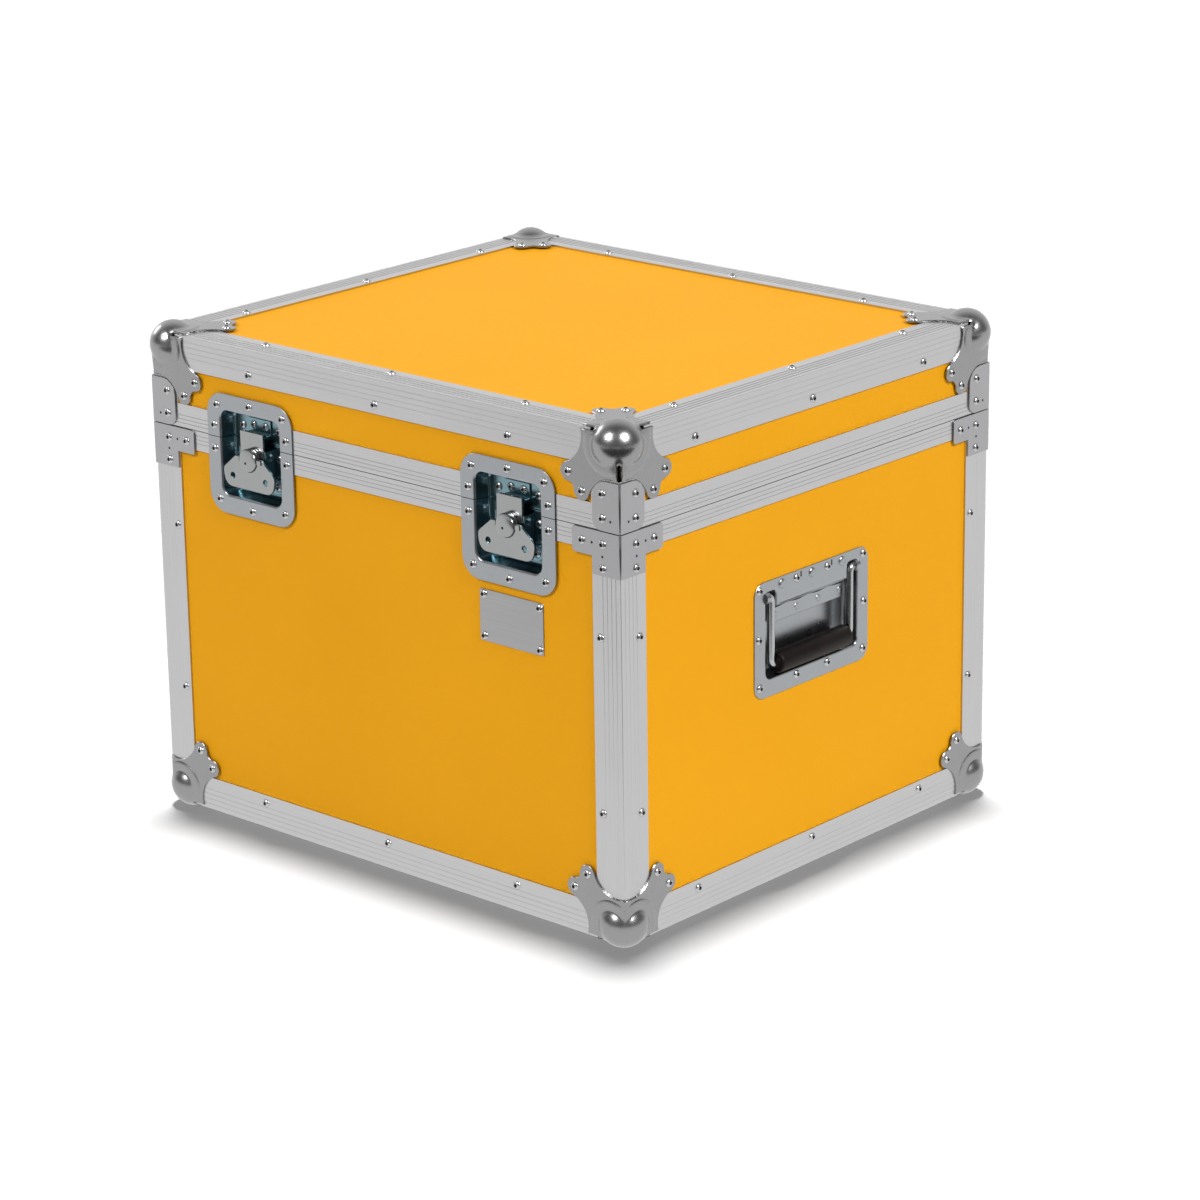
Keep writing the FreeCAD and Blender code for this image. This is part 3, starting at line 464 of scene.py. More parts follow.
def make_piece(shape, name, node, finishes):
    """A piece from a bmesh that stands for a CAD node and rides on the node's body."""
    mesh = finished_mesh(shape, name)
    for finish in finishes:
        mesh.materials.append(finish)
    piece = add_object(name, mesh)
    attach(piece, node_body[node])
    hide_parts(node)
    return piece


def merged_mesh(node):
    """A bmesh copy of a CAD node with its loose triangles joined."""
    shape = bmesh.new()
    shape.from_mesh(nodes[node].data)
    bmesh.ops.remove_doubles(shape, verts=shape.verts, dist=weld)
    return shape


def join_flat_faces(shape):
    """Make one face of triangles that lie in a plane."""
    bmesh.ops.dissolve_limit(
        shape, angle_limit=math.radians(flat_fold), use_dissolve_boundaries=False,
        verts=shape.verts, edges=shape.edges, delimit=set(),
    )


def keen_edges(shape, fold):
    """Edges that fold by more than so many degrees."""
    limit = math.radians(fold)
    return [edge for edge in shape.edges if edge.is_manifold and edge.calc_face_angle() > limit]


def soften(shape, edges, size, steps):
    """Round edges over and give the faces that this makes."""
    made = bmesh.ops.bevel(
        shape, geom=edges, offset=size, offset_type="OFFSET", affect="EDGES",
        segments=steps, profile=0.5, material=-1, clamp_overlap=True,
    )
    return made["faces"]


def shade_smooth(shape, fold):
    """Smooth shading with edges crisp where they fold by more than so many degrees."""
    for face in shape.faces:
        face.smooth = True
    for edge in keen_edges(shape, fold):
        edge.smooth = False


def shade_pressed(shape):
    """Smooth shading of a pressed dish with its broad faces flat."""
    shade_smooth(shape, dish_crisp_fold)
    for face in shape.faces:
        face.smooth = face.calc_area() < broad_face


def arc(centre, radius, start, end, steps):
    """Points of an arc in a plane from one angle to another."""
    turns = [start + (end - start) * step / steps for step in range(steps + 1)]
    return [(centre[0] + radius * math.cos(turn), centre[1] + radius * math.sin(turn)) for turn in turns]


def rectangle(half, low, high):
    """Corners of a rectangle, as (along, up)."""
    return [(-half, low), (half, low), (half, high), (-half, high)]


def facing(outward, place=(0, 0, 0)):
    """Matrix that turns z outward and moves the origin to a place."""
    return Matrix.Translation(place) @ outward.to_track_quat("Z", "Y").to_matrix().to_4x4()


def skin_sections(shape, sections):
    """Closed skin over sections with as many points each; gives its faces."""
    rings = [[shape.verts.new(point) for point in section] for section in sections]
    faces = []
    for ring, after in zip(rings, rings[1:]):
        for step in range(len(ring)):
            faces.append(shape.faces.new((ring[step - 1], ring[step], after[step], after[step - 1])))
    return faces + [shape.faces.new(rings[0]), shape.faces.new(rings[-1])]


def turn_solid(shape, profile, axis, centre, steps, ring=False):
    """Solid turned from a line of points, or from a ring of them; gives its vertices."""
    before = set(shape.verts)
    points = [shape.verts.new(point) for point in profile]
    edges = [shape.edges.new(pair) for pair in zip(points, points[1:] + (points[:1] if ring else []))]
    bmesh.ops.spin(
        shape, geom=points + edges, axis=axis, cent=centre, angle=2 * math.pi, steps=steps, use_merge=True,
    )
    made = [vertex for vertex in shape.verts if vertex not in before]
    bmesh.ops.remove_doubles(shape, verts=made, dist=weld)
    return [vertex for vertex in shape.verts if vertex not in before]


def add_copy(shape, template, matrix):
    """A copy of a mesh, moved by a matrix."""
    start = len(shape.verts)
    shape.from_mesh(template)
    shape.verts.ensure_lookup_table()
    bmesh.ops.transform(shape, matrix=matrix, verts=shape.verts[start:])


def round_outline(centre, outward, radius):
    """Points of a small upright circle that faces one way."""
    across = outward.cross(Vector((0, 0, 1)))
    turns = [2 * math.pi * step / plug_sides for step in range(plug_sides)]
    return [centre + (across * math.cos(turn) + Vector((0, 0, math.sin(turn)))) * radius for turn in turns]


def add_shade_plug(shape, outline, outward):
    """Plug of painted shade let into a sheet, closed all round, for a hole whose shade shows as a dark spot.
    """
    sections = [[point + outward * lift for point in outline] for lift in (plug_proud, -plug_depth)]
    faces = skin_sections(shape, sections)
    bmesh.ops.recalc_face_normals(shape, faces=faces)
    for face in faces:
        face.material_index = 1


def add_dome(shape, place, outward, radius, height):
    """Low round swelling pressed up out of a sheet, with its foot closed inside the sheet."""
    profile = [(0, 0, -seat_sink), (radius, 0, -seat_sink)]
    profile += [(radius * share, 0, height * rise) for share, rise in dome_profile]
    made = turn_solid(shape, profile, (0, 0, 1), (0, 0, 0), dome_steps)
    bmesh.ops.transform(shape, matrix=facing(outward, place), verts=made)
    bmesh.ops.recalc_face_normals(shape, faces=list({face for vertex in made for face in vertex.link_faces}))


def extrusion_way(node):
    """The axis that an extrusion runs along."""
    if node.endswith("_posts"):
        return "z"
    return "x" if "_front_" in node or "_back_" in node else "y"


def spread_top_grooves(shape, across):
    """Widen the grooves in the lid's upper faces, which show at a low angle."""
    shifts = {}
    for vertex in shape.verts:
        if abs(top_z - vertex.co.z - groove_depth) < on_plane:
            for edge in vertex.link_edges:
                other = edge.other_vert(vertex)
                step = other.co[across] - vertex.co[across]
                if abs(top_z - other.co.z) < on_plane and groove_slope[0] < abs(step) < groove_slope[1]:
                    shifts[other] = math.copysign(top_groove_spread, step)
    for vertex, shift in shifts.items():
        vertex.co[across] += shift


def refine_extrusion(shape, lines):
    """Bring grooves to the depth that they show on each axis, and chamfered arrises out to fine ones."""
    middle_z = (foot_z + top_z) / 2
    for vertex in shape.verts:
        x, y, z = vertex.co
        depths = (half_width - abs(x), half_depth - abs(y), top_z - z if z > middle_z else z - foot_z)
        outward = [math.copysign(1, way) for way in (x, y, z - middle_z)]
        on_face = min(abs(depth) for depth in depths) < on_plane
        for axis, depth in enumerate(depths):
            if abs(depth - groove_depth) < on_plane:
                vertex.co[axis] += outward[axis] * (groove_depth - lines[axis])
            elif on_face and abs(depth - arris_chamfer) < on_plane:
                vertex.co[axis] += outward[axis] * (arris_chamfer - arris_line)


def fine_extrusion(node, finish):
    """An extrusion with fine grooves and arrises, faint on the lid's upright faces and wide on its top."""
    shape = merged_mesh(node)
    lines = (groove_line,) * 3
    if node.startswith("lid") and node.endswith("_edge"):
        spread_top_grooves(shape, 1 if extrusion_way(node) == "x" else 0)
        lines = (lid_groove_line, lid_groove_line, top_groove_line)
    refine_extrusion(shape, lines)
    shade_smooth(shape, extrusion_crisp_fold)
    return make_piece(shape, node + "_dressed", node, [finish])


def softened_copy(node, finish):
    """The CAD node's own shape with its round faces shaded smooth and its edges softened."""
    shape = merged_mesh(node)
    join_flat_faces(shape)
    made = soften(shape, keen_edges(shape, keen_fold), edge_softness, edge_steps)
    bmesh.ops.dissolve_degenerate(shape, dist=sliver, edges=shape.edges)
    strips = {face for face in made if face.is_valid}
    shade_smooth(shape, crisp_fold)
    for edge in shape.edges:
        if edge.is_manifold and len(strips.intersection(edge.link_faces)) == 1:
            edge.smooth = False
    return make_piece(shape, node + "_dressed", node, [finish])


def corner_braces(node, finishes):
    """Angle braces with a round fold, soft edges and spare holes beside the rivets, the holes shown as plugs
    of painted shade.
    """
    shape = merged_mesh(node)
    join_flat_faces(shape)
    beyond_x, beyond_y = half_width + 1 * mm, half_depth + 1 * mm
    folds = []
    for edge in shape.edges:
        if all(abs(end.co.x) > beyond_x and abs(end.co.y) > beyond_y for end in edge.verts):
            folds.append(edge)
    soften(shape, folds, brace_fold * mm, brace_fold_steps)
    soften(shape, keen_edges(shape, keen_fold), fine_softness, edge_steps)
    shade_smooth(shape, crisp_fold)
    for edge in shape.edges:
        if max(face.calc_area() for face in edge.link_faces) > broad_brace_face:
            edge.smooth = False
    # Spare holes are plugs of painted shade, not cut.
    holes = base_brace_holes if node.startswith("base") else lid_brace_holes
    lift = brace_sheet * mm
    for side, end in ((-1, -1), (-1, 1), (1, -1), (1, 1)):
        for along, up in holes:
            height = parting_z + up * mm
            on_front = Vector((side * (half_width - along * mm), end * (half_depth + lift), height))
            on_side = Vector((side * (half_width + lift), end * (half_depth - along * mm), height))
            for place, outward in ((on_front, Vector((0, end, 0))), (on_side, Vector((side, 0, 0)))):
                add_shade_plug(shape, round_outline(place, outward, brace_hole * mm), outward)
    return make_piece(shape, node + "_folded", node, finishes)


def cap_outline(upright):
    """Half of a ball corner flange's edge, from the corner along an arris to the valley, as (u, v, rim)."""
    edge = -cap_sheet
    flank_across = flank_neck + flank_radius
    flank_up = lobe_near - math.sqrt((flank_radius + lobe_radius) ** 2 - (flank_across - lobe_far) ** 2)
    arris_top = upright_top if upright else slit_end - slit_half - cap_sheet
    arris = [(edge, edge + (arris_top - edge) * step / arris_steps) for step in range(arris_steps)]
    if upright:
        first = edge
        rim = [(edge, arris_top)]
    else:
        first = slit_half
        rim = arc((edge, slit_end), slit_half + cap_sheet, -math.pi / 2, 0, 6)
        rim.append((slit_half, slit_end + slit_side))
    start = math.acos((flank_up - first) / flank_radius)
    joint = math.acos((flank_up - lobe_near) / (flank_radius + lobe_radius))
    rim += arc((flank_up, flank_across), -flank_radius, start, joint, 10)
    rim += arc((lobe_near, lobe_far), lobe_radius, joint, 0, 12)[1:]
    rim += arc((lobe_far, lobe_far), lobe_far - lobe_near - lobe_radius, math.pi, 1.25 * math.pi, 3)[1:]
    return [(u, v, False) for u, v in arris] + [(u, v, True) for u, v in rim]


def share_of(value):
    """A value held between 0 and 1."""
    return max(0.0, min(1.0, value))


def eased(value):
    """A share that starts and ends softly."""
    share = share_of(value)
    return share * share * (3 - 2 * share)


def cap_field(point):
    """How far a point stands outside the pressed corner: the ball blended into the folded sheet."""
    ball = math.dist(point, (ball_inset,) * 3) - ball_radius
    reach = []
    for axis in range(3):
        u, v = (point[axis - 2], point[axis - 1])
        span = math.hypot(u - ball_inset, v - ball_inset)
        rise = ring_rise * eased((ring_radius - span) / ring_slope) * eased(min(u, v) / ring_fade)
        reach.append(-cap_sheet - rise - point[axis] + fold_radius)
    outside = math.hypot(*[max(0.0, value) for value in reach])
    sheet = outside + min(max(reach), 0.0) - fold_radius
    mix = share_of(0.5 + 0.5 * (sheet - ball) / ball_blend)
    joined = sheet + (ball - sheet) * mix - ball_blend * mix * (1 - mix)
    crown = share_of((ball_inset - max(point)) / crown_fade)
    return joined + (ball - joined) * crown


def cap_point(u, v):
    """Where the ray from the ball's middle to a point of the flange's plane leaves the pressed corner."""
    middle = Vector((ball_inset,) * 3)
    ray = Vector((u, v, -cap_sheet)) - middle
    low, high = 0.6, 2.0
    for step in range(halvings):
        half = (low + high) / 2
        if cap_field(middle + ray * half) > 0:
            high = half
        else:
            low = half
    return middle + ray * low


def steady_turns(outline):
    """Angle of each outline point about the ball's axis, evened so that it always falls."""
    turns = [1.25 * math.pi]
    for u, v, rim in outline[1:]:
        turn = math.atan2(v - ball_inset, u - ball_inset)
        turns.append(turn + 2 * math.pi * round((turns[-1] - turn) / (2 * math.pi)))
    falling = list(turns)
    for index in range(1, len(turns)):
        falling[index] = min(falling[index - 1], turns[index])
    rising = list(turns)
    for index in range(len(turns) - 2, -1, -1):
        rising[index] = max(rising[index + 1], turns[index])
    evened = []
    for index, (low, high) in enumerate(zip(falling, rising)):
        even = turns[0] - 2 * math.pi * index / len(turns)
        evened.append((1 - evening) * (low + high) / 2 + evening * even)
    return evened


def cap_face(shape, turn, upright_u, upright_v):
    """One face of a pressed corner, as rings of points about the ball's axis out to the flange's edge."""
    second = [(v, u, rim) for u, v, rim in cap_outline(upright_v)]
    outline = cap_outline(upright_u) + list(reversed(second[1:-1]))
    spans = [span / ring_radius for span in cap_spans]
    ring = len(spans)
    middle = Vector((ball_inset, ball_inset))

    def placed(point):
        return shape.verts.new([point[(axis - turn) % 3] * mm for axis in range(3)])

    centre = placed(cap_point(ball_inset, ball_inset))
    columns = []
    for index, (angle, (u, v, rim)) in enumerate(zip(steady_turns(outline), outline)):
        edge = Vector((u, v))
        way = Vector((math.cos(angle), math.sin(angle)))
        inner = min((edge - middle).length / spans[-1] * ring_margin, ring_radius)
        points = [middle + way * inner * span for span in spans]
        end = cap_point(u, v)
        if rim:
            ahead, behind = outline[(index + 1) % len(outline)], outline[index - 1]
            along = Vector((ahead[0] - behind[0], ahead[1] - behind[1])).normalized()
            points.append(edge + Vector((along.y, -along.x)) * cap_edge)
            foot = [placed(end + Vector((0, 0, cap_edge))), placed((max(u, 0), max(v, 0), 0))]
        else:
            points.append((points[-1] + edge) / 2)
            foot = [placed(end)]
        columns.append([centre] + [placed(cap_point(*point)) for point in points] + foot)
    rims = [column for column in columns if len(column) == ring + 4]
    for index, column in enumerate(columns):
        other = columns[index - 1]
        shape.faces.new((centre, other[1], column[1]))
        places = list(range(1, ring))
        rimmed = len(column) == len(other) == ring + 4
        if rimmed:
            places += [ring + 1, ring + 2]
        elif len(column) == len(other):
            places += [ring, ring + 1]
        else:
            short, long = sorted((column, other), key=len)
            shape.faces.new(long[ring:ring + 3] + short[:ring - 1:-1])
        for place in places:
            shape.faces.new((column[place], other[place], other[place + 1], column[place + 1]))
            if rimmed and place > ring:
                shape.edges.get((column[place], other[place])).smooth = False
    shape.faces.new([column[ring] for column in rims] + [column[ring + 1] for column in reversed(rims)])


def pressed_corner(upright):
    """A whole ball corner at the origin, closed inside the case, with x, y and z pointing into the case."""
    shape = bmesh.new()
    cap_face(shape, 0, False, False)
    cap_face(shape, 1, upright, False)
    cap_face(shape, 2, False, upright)
    bmesh.ops.remove_doubles(shape, verts=shape.verts, dist=cap_weld)
    inside = shape.verts.new((closing_depth * mm,) * 3)
    for edge in [edge for edge in shape.edges if edge.is_boundary]:
        edge.smooth = False
        shape.faces.new((*edge.verts, inside))
    bmesh.ops.recalc_face_normals(shape, faces=shape.faces)
    return finished_mesh(shape, "pressed corner")


def ball_corners(node, finish):
    """Four pressed corners in place of a CAD node."""
    on_base = node.startswith("base")
    template = pressed_corner(on_base)
    shape = bmesh.new()
    for side, end in ((-1, -1), (-1, 1), (1, -1), (1, 1)):
        matrix = Matrix.Diagonal((-side, -end, 1 if on_base else -1, 1))
        matrix.translation = (side * half_width, end * half_depth, foot_z if on_base else top_z)
        add_copy(shape, template, matrix)
    bmesh.ops.recalc_face_normals(shape, faces=shape.faces)
    for face in shape.faces:
        face.smooth = True
    return make_piece(shape, node + "_pressed", node, [finish])


def front_place(side, along, depth, up):
    """World point on the front, from a latch's middle, behind the face and above the parting line."""
    across = side * latch_offset + along
    return Vector((across * mm, depth * mm - half_depth, parting_z + up * mm))


def round_section(outline, grow, depth):
    """Section of a latch's dish: a rectangle with round corners, wider by grow all round."""
    half, low, high, corner = [size + way * grow for size, way in zip(outline, (1, -1, 1, 1))]
    middles = rectangle(half - corner, low + corner, high - corner)
    points = []
    for index, middle in enumerate(middles[1:] + middles[:1]):
        start = math.radians(90 * index - 90)
        points += arc(middle, corner, start, start + math.pi / 2, 8)
    return [(along, depth, up) for along, up in points]


def dish_rings():
    """Sections of a pressed latch dish from the floor's front over the mouth to the floor's back."""
    wall = latch_floor - floor_round
    lean = latch_draft * wall / latch_floor
    steps = [(mouth_outline, -lean - floor_round - floor_margin, latch_floor)]
    for turn in quarter_turns:
        grow = -lean - floor_round * (1 - math.cos(turn))
        steps.append((mouth_outline, grow, wall + floor_round * math.sin(turn)))
    for turn in quarter_turns:
        depth = mouth_round * (1 - math.cos(turn)) - dish_sheet
        steps.append((mouth_outline, mouth_round * (1 - math.sin(turn)), depth))
    steps += [
        (mouth_outline, mouth_round + mouth_apron, -dish_sheet),
        (latch_outline, -flange_edge, -dish_sheet),
        (latch_outline, 0, flange_edge - dish_sheet),
        (latch_outline, 0, 0),
        (mouth_outline, dish_sheet + mouth_back, 0),
        (mouth_outline, dish_sheet - latch_draft, latch_floor + dish_sheet),
    ]
    return [round_section(*step) for step in steps]


def dish_half(side, upper):
    """Upper or lower half of a pressed dish, with the lip on its floor at the parting line."""
    cut = parting_gap if upper else 0.0
    shape = bmesh.new()
    skin_sections(shape, [[front_place(side, *point) for point in ring] for ring in dish_rings()])
    made = bmesh.ops.bisect_plane(
        shape, geom=shape.verts[:] + shape.edges[:] + shape.faces[:], dist=weld,
        plane_co=front_place(side, 0, 0, cut), plane_no=(0, 0, 1),
        clear_outer=not upper, clear_inner=upper,
    )
    rim = [item for item in made["geom_cut"] if isinstance(item, bmesh.types.BMEdge)]
    bmesh.ops.edgeloop_fill(shape, edges=rim)
    low = cut if upper else -dish_sheet
    width = 2 * (mouth_outline[0] - latch_draft - floor_round)
    lip = bmesh.ops.create_cube(shape, size=1.0)["verts"]
    for vertex in lip:
        along, depth, up = vertex.co
        depth = latch_floor - lip_rise * (0.5 - depth)
        vertex.co = front_place(side, width * along, depth, low + dish_sheet * (0.5 + up))
    lip_edges = [edge for edge in shape.edges if edge.verts[0] in lip and edge.verts[1] in lip]
    soften(shape, lip_edges, fine_softness, edge_steps)
    bmesh.ops.recalc_face_normals(shape, faces=shape.faces)
    return finished_mesh(shape, "dish half")


def latch_dishes(node, finishes):
    """Upper or lower halves of both pressed dishes, with the inside in a darker, bluer copy of the steel as
    painted shade.
    """
    shape = bmesh.new()
    for side in (-1, 1):
        shape.from_mesh(dish_half(side, "upper" in node))
    shade_smooth(shape, dish_crisp_fold)
    for face in shape.faces:
        # Faces deeper than this take the painted shade finish.
        face.material_index = int(face.calc_center_median().y + half_depth > inside_shade_depth)
    return make_piece(shape, node + "_pressed", node, finishes)


def turned_spindle(node, side, finishes):
    """Spool-shaped head, eccentric and shaft of a latch, with the punched mark on the head shown as a plug of
    painted shade.
    """
    shape = bmesh.new()
    centre = front_place(side, 0, 0, -spindle_drop)
    cam_centre = centre - Vector((0, 0, cam_throw * mm))
    for profile, middle in ((head_profile, centre), (cam_profile, cam_centre), (shaft_profile, centre)):
        points = [middle + Vector((radius, depth, 0)) * mm for radius, depth in profile]
        turn_solid(shape, points, (0, 1, 0), middle, turned_steps)
    bmesh.ops.recalc_face_normals(shape, faces=shape.faces)
    shade_smooth(shape, keen_fold)
    # The punched mark is a plug of painted shade.
    ahead = Vector((0, -1, 0))
    mark = centre + Vector((mark_along, -head_proud, mark_up)) * mm
    add_shade_plug(shape, round_outline(mark, ahead, mark_radius * mm), ahead)
    return make_piece(shape, node + "_turned", node, finishes)


def side_place(side, along, depth, up):
    """World point on a side wall, from the handle's middle along it, behind its face and upward."""
    reach = half_width - depth * mm
    return Vector((side * reach, side * along * mm, foot_z + (handle_height + up) * mm))


def bend_points(before, corner, after, radius):
    """Points of a round bend between two straight stretches, in (along, up)."""
    back = (before - corner).normalized()
    ahead = (after - corner).normalized()
    half = back.angle(ahead) / 2
    middle = corner + (back + ahead).normalized() * (radius / math.sin(half))
    spoke = corner + back * (radius / math.tan(half)) - middle
    sweep = math.copysign(math.pi - 2 * half, -back.cross(ahead))
    turns = [sweep * step / (bend_count - 1) for step in range(bend_count)]
    return [middle + Matrix.Rotation(turn, 2) @ spoke for turn in turns]


def add_rod(shape, path, radius, sides):
    """Round rod along a path of points."""
    sections = []
    for index, point in enumerate(path):
        before = path[max(index - 1, 0)]
        after = path[min(index + 1, len(path) - 1)]
        way = (after - before).normalized()
        across = way.cross(Vector((1, 0, 0))).normalized()
        other = way.cross(across)
        section = []
        for step in range(sides):
            turn = 2 * math.pi * step / sides
            section.append(point + (across * math.cos(turn) + other * math.sin(turn)) * radius)
        sections.append(section)
    skin_sections(shape, sections)


def bowl_loop(grow):
    """Mouth of a handle's dish with its two ears, wider by grow all round, as (along, up) points."""
    side, top, low = bowl_half + grow, ear_top + grow, bowl_low - grow
    inner, shelf = ear_inner - grow, shelf_up + grow
    outer_round, ear_round = bowl_corner + grow, max(ear_least, ear_corner + grow)
    hollow_round = max(hollow_least, ear_corner - grow)
    corners = [
        (-side, low, outer_round), (side, low, outer_round), (side, top, ear_round), (inner, top, ear_round),
        (inner, shelf, hollow_round), (-inner, shelf, hollow_round), (-inner, top, ear_round),
        (-side, top, ear_round),
    ]
    points = []
    for index, (along, up, radius) in enumerate(corners):
        before = Vector(corners[index - 1][:2])
        after = Vector(corners[(index + 1) % len(corners)][:2])
        points += bend_points(before, Vector((along, up)), after, radius)
    return points


def bowl_flange(grow, depth):
    """Edge of a handle's flange, with as many points as its mouth."""
    half, tall = bowl_width + grow, bowl_tall + grow
    corners = [Vector(corner) for corner in rectangle(half, -tall, tall)]
    extra = 4 * bend_count
    points = []
    for index, corner in enumerate(corners):
        if index == 3:
            points += [Vector((bowl_top_run * (1 - 2 * step / (extra - 1)), tall)) for step in range(extra)]
        points += bend_points(corners[index - 1], corner, corners[(index + 1) % 4], bowl_edge + grow)
    return [(point.x, depth, point.y) for point in points]


def bowl_ring(side_grow, side_depth, shelf_grow, shelf_depth):
    """Section of a handle's dish, one way round the sides and another under the shelf between the ears."""
    ring = []
    for index, (near, over) in enumerate(zip(bowl_loop(side_grow), bowl_loop(shelf_grow))):
        corner, step = divmod(index, bend_count)
        into_shelf = {4: step, 5: bend_count - 1 - step}.get(corner, 0)
        share = min(1.0, into_shelf / (bend_count / 2))
        place = near.lerp(over, share)
        ring.append((place.x, side_depth + (shelf_depth - side_depth) * share, place.y))
    return ring


def bowl_rings():
    """Sections of a handle's dish from the floor's front over mouth and flange to the floor's back."""
    wall = bowl_floor - floor_round
    lean = bowl_draft * wall / bowl_floor
    margin = floor_round + floor_margin
    rings = [bowl_ring(-lean - margin, bowl_floor, -margin, bowl_floor)]
    for turn in quarter_turns:
        inward = floor_round * (1 - math.cos(turn))
        depth = wall + floor_round * math.sin(turn)
        rings.append(bowl_ring(-lean - inward, depth, -inward, depth))
    for turn in quarter_turns:
        out, back = 1 - math.sin(turn), 1 - math.cos(turn)
        side_depth, shelf_depth = bowl_round * back + bowl_face, shoulder_depth * back + bowl_face
        rings.append(bowl_ring(bowl_round * out, side_depth, shoulder_rise * out, shelf_depth))
    flange_back = bowl_face + dish_sheet
    floor_back = bowl_floor + dish_sheet
    return rings + [
        bowl_ring(bowl_round + bowl_apron, bowl_face, shoulder_rise + bowl_apron, bowl_face),
        bowl_flange(-flange_edge, bowl_face),
        bowl_flange(0, bowl_face + flange_edge),
        bowl_flange(0, flange_back),
        bowl_ring(bowl_round + bowl_back, flange_back, shoulder_rise + shelf_back, flange_back),
        bowl_ring(dish_sheet - bowl_draft, floor_back, dish_sheet, floor_back),
    ]


def handle_dish(node, side, finishes):
    """Pressed dish of a handle with its shoulder, the hoods over the bail's ends, bosses, and slots shown as
    plugs of painted shade.
    """
    shape = bmesh.new()
    skin_sections(shape, [[side_place(side, *point) for point in ring] for ring in bowl_rings()])
    for end in (-1, 1):
        hood = [side_place(side, end * reach, bail_depth, bail_rise) for reach in (hood_start, hood_end)]
        add_rod(shape, hood, hood_radius * mm, hood_sides)
    bmesh.ops.recalc_face_normals(shape, faces=shape.faces)
    outward = Vector((side, 0, 0))
    for along in boss_places:
        place = side_place(side, along, bowl_face, boss_up)
        add_dome(shape, place, outward, boss_radius * mm, boss_height * mm)
    shade_pressed(shape)
    # The punched slots are plugs of painted shade.
    spots = rectangle(slot_half, boss_up + slot_low, boss_up + slot_high)
    for along in slot_places:
        add_shade_plug(shape, [side_place(side, along + across, bowl_face, up) for across, up in spots], outward)
    return make_piece(shape, node + "_pressed", node, finishes)


def cover_section(along):
    """Section of the strip in a handle's dish, as (depth, up), with its upper edge in a wave."""
    top = cover_top + cover_wave * math.cos(2 * math.pi * along / cover_pitch)
    inside = cover_low + cover_sheet
    return [
        (bowl_floor, inside), (cover_back, inside), (cover_back, top), (cover_front, top),
        (cover_front, cover_low + cover_edge), (cover_front + cover_edge, cover_low), (bowl_floor, cover_low),
    ]


def handle_covers(node, finishes):
    """Strip across each handle's dish with a wavy upper edge, a plug of painted shadow for the gap behind it,
    and dimples.
    """
    shape = bmesh.new()
    for side in (-1, 1):
        alongs = [cover_half * (2 * step / cover_steps - 1) for step in range(cover_steps + 1)]
        skin_sections(shape, [
            [side_place(side, along, depth, up) for depth, up in cover_section(along)] for along in alongs
        ])
    bmesh.ops.recalc_face_normals(shape, faces=shape.faces)
    for side in (-1, 1):
        for along in dimple_places:
            place = side_place(side, along, cover_front, dimple_up)
            add_dome(shape, place, Vector((side, 0, 0)), dimple_radius * mm, dimple_height * mm)
    shade_pressed(shape)
    # A plug of painted shadow stands in the gap behind the strip.
    spots = rectangle(cover_half, gap_low, shelf_up)
    for side in (-1, 1):
        gap = [side_place(side, along, cover_back + gap_back, up) for along, up in spots]
        add_shade_plug(shape, gap, Vector((side, 0, 0)))
    return make_piece(shape, node + "_wavy", node, finishes)


def round_bail(node, side, finish):
    """Bent round rod of a handle."""
    half = [(bail_half, -grip_drop), (bail_half, bail_rise), (bail_end, bail_rise)]
    corners = [Vector((-along, up)) for along, up in reversed(half)] + [Vector(corner) for corner in half]
    path = [corners[0]]
    for index, radius in enumerate((bail_pin_bend, bail_bend, bail_bend, bail_pin_bend)):
        path += bend_points(*corners[index:index + 3], radius)
    path.append(corners[-1])
    shape = bmesh.new()
    places = [side_place(side, along, bail_depth, up) for along, up in path]
    add_rod(shape, places, bail_radius * mm, bail_sides)
    bmesh.ops.recalc_face_normals(shape, faces=shape.faces)
    for face in shape.faces:
        face.smooth = len(face.verts) == 4
    return make_piece(shape, node + "_round", node, [finish])


def round_grip(node, side, finish):
    """Moulded grip with rounded ends, turned about the bail's bar."""
    bend = (grip_radius - grip_round, grip_half - grip_round)
    profile = [(bail_radius, grip_half)] + arc(bend, grip_round, math.pi / 2, 0, 5)
    profile += [(radius, -along) for radius, along in reversed(profile)]
    shape = bmesh.new()
    points = [side_place(side, along, bail_depth, radius - grip_drop) for radius, along in profile]
    middle = side_place(side, 0, bail_depth, -grip_drop)
    turn_solid(shape, points, (0, 1, 0), middle, turned_steps, ring=True)
    bmesh.ops.recalc_face_normals(shape, faces=shape.faces)
    shade_smooth(shape, grip_crisp_fold)
    return make_piece(shape, node + "_round", node, [finish])


def islands(shape):
    """Vertices of each separate solid in a bmesh."""
    seen = set()
    groups = []
    for start in shape.verts:
        if start in seen:
            continue
        seen.add(start)
        group = [start]
        for vertex in group:
            for edge in vertex.link_edges:
                other = edge.other_vert(vertex)
                if other not in seen:
                    seen.add(other)
                    group.append(other)
        groups.append(group)
    return groups


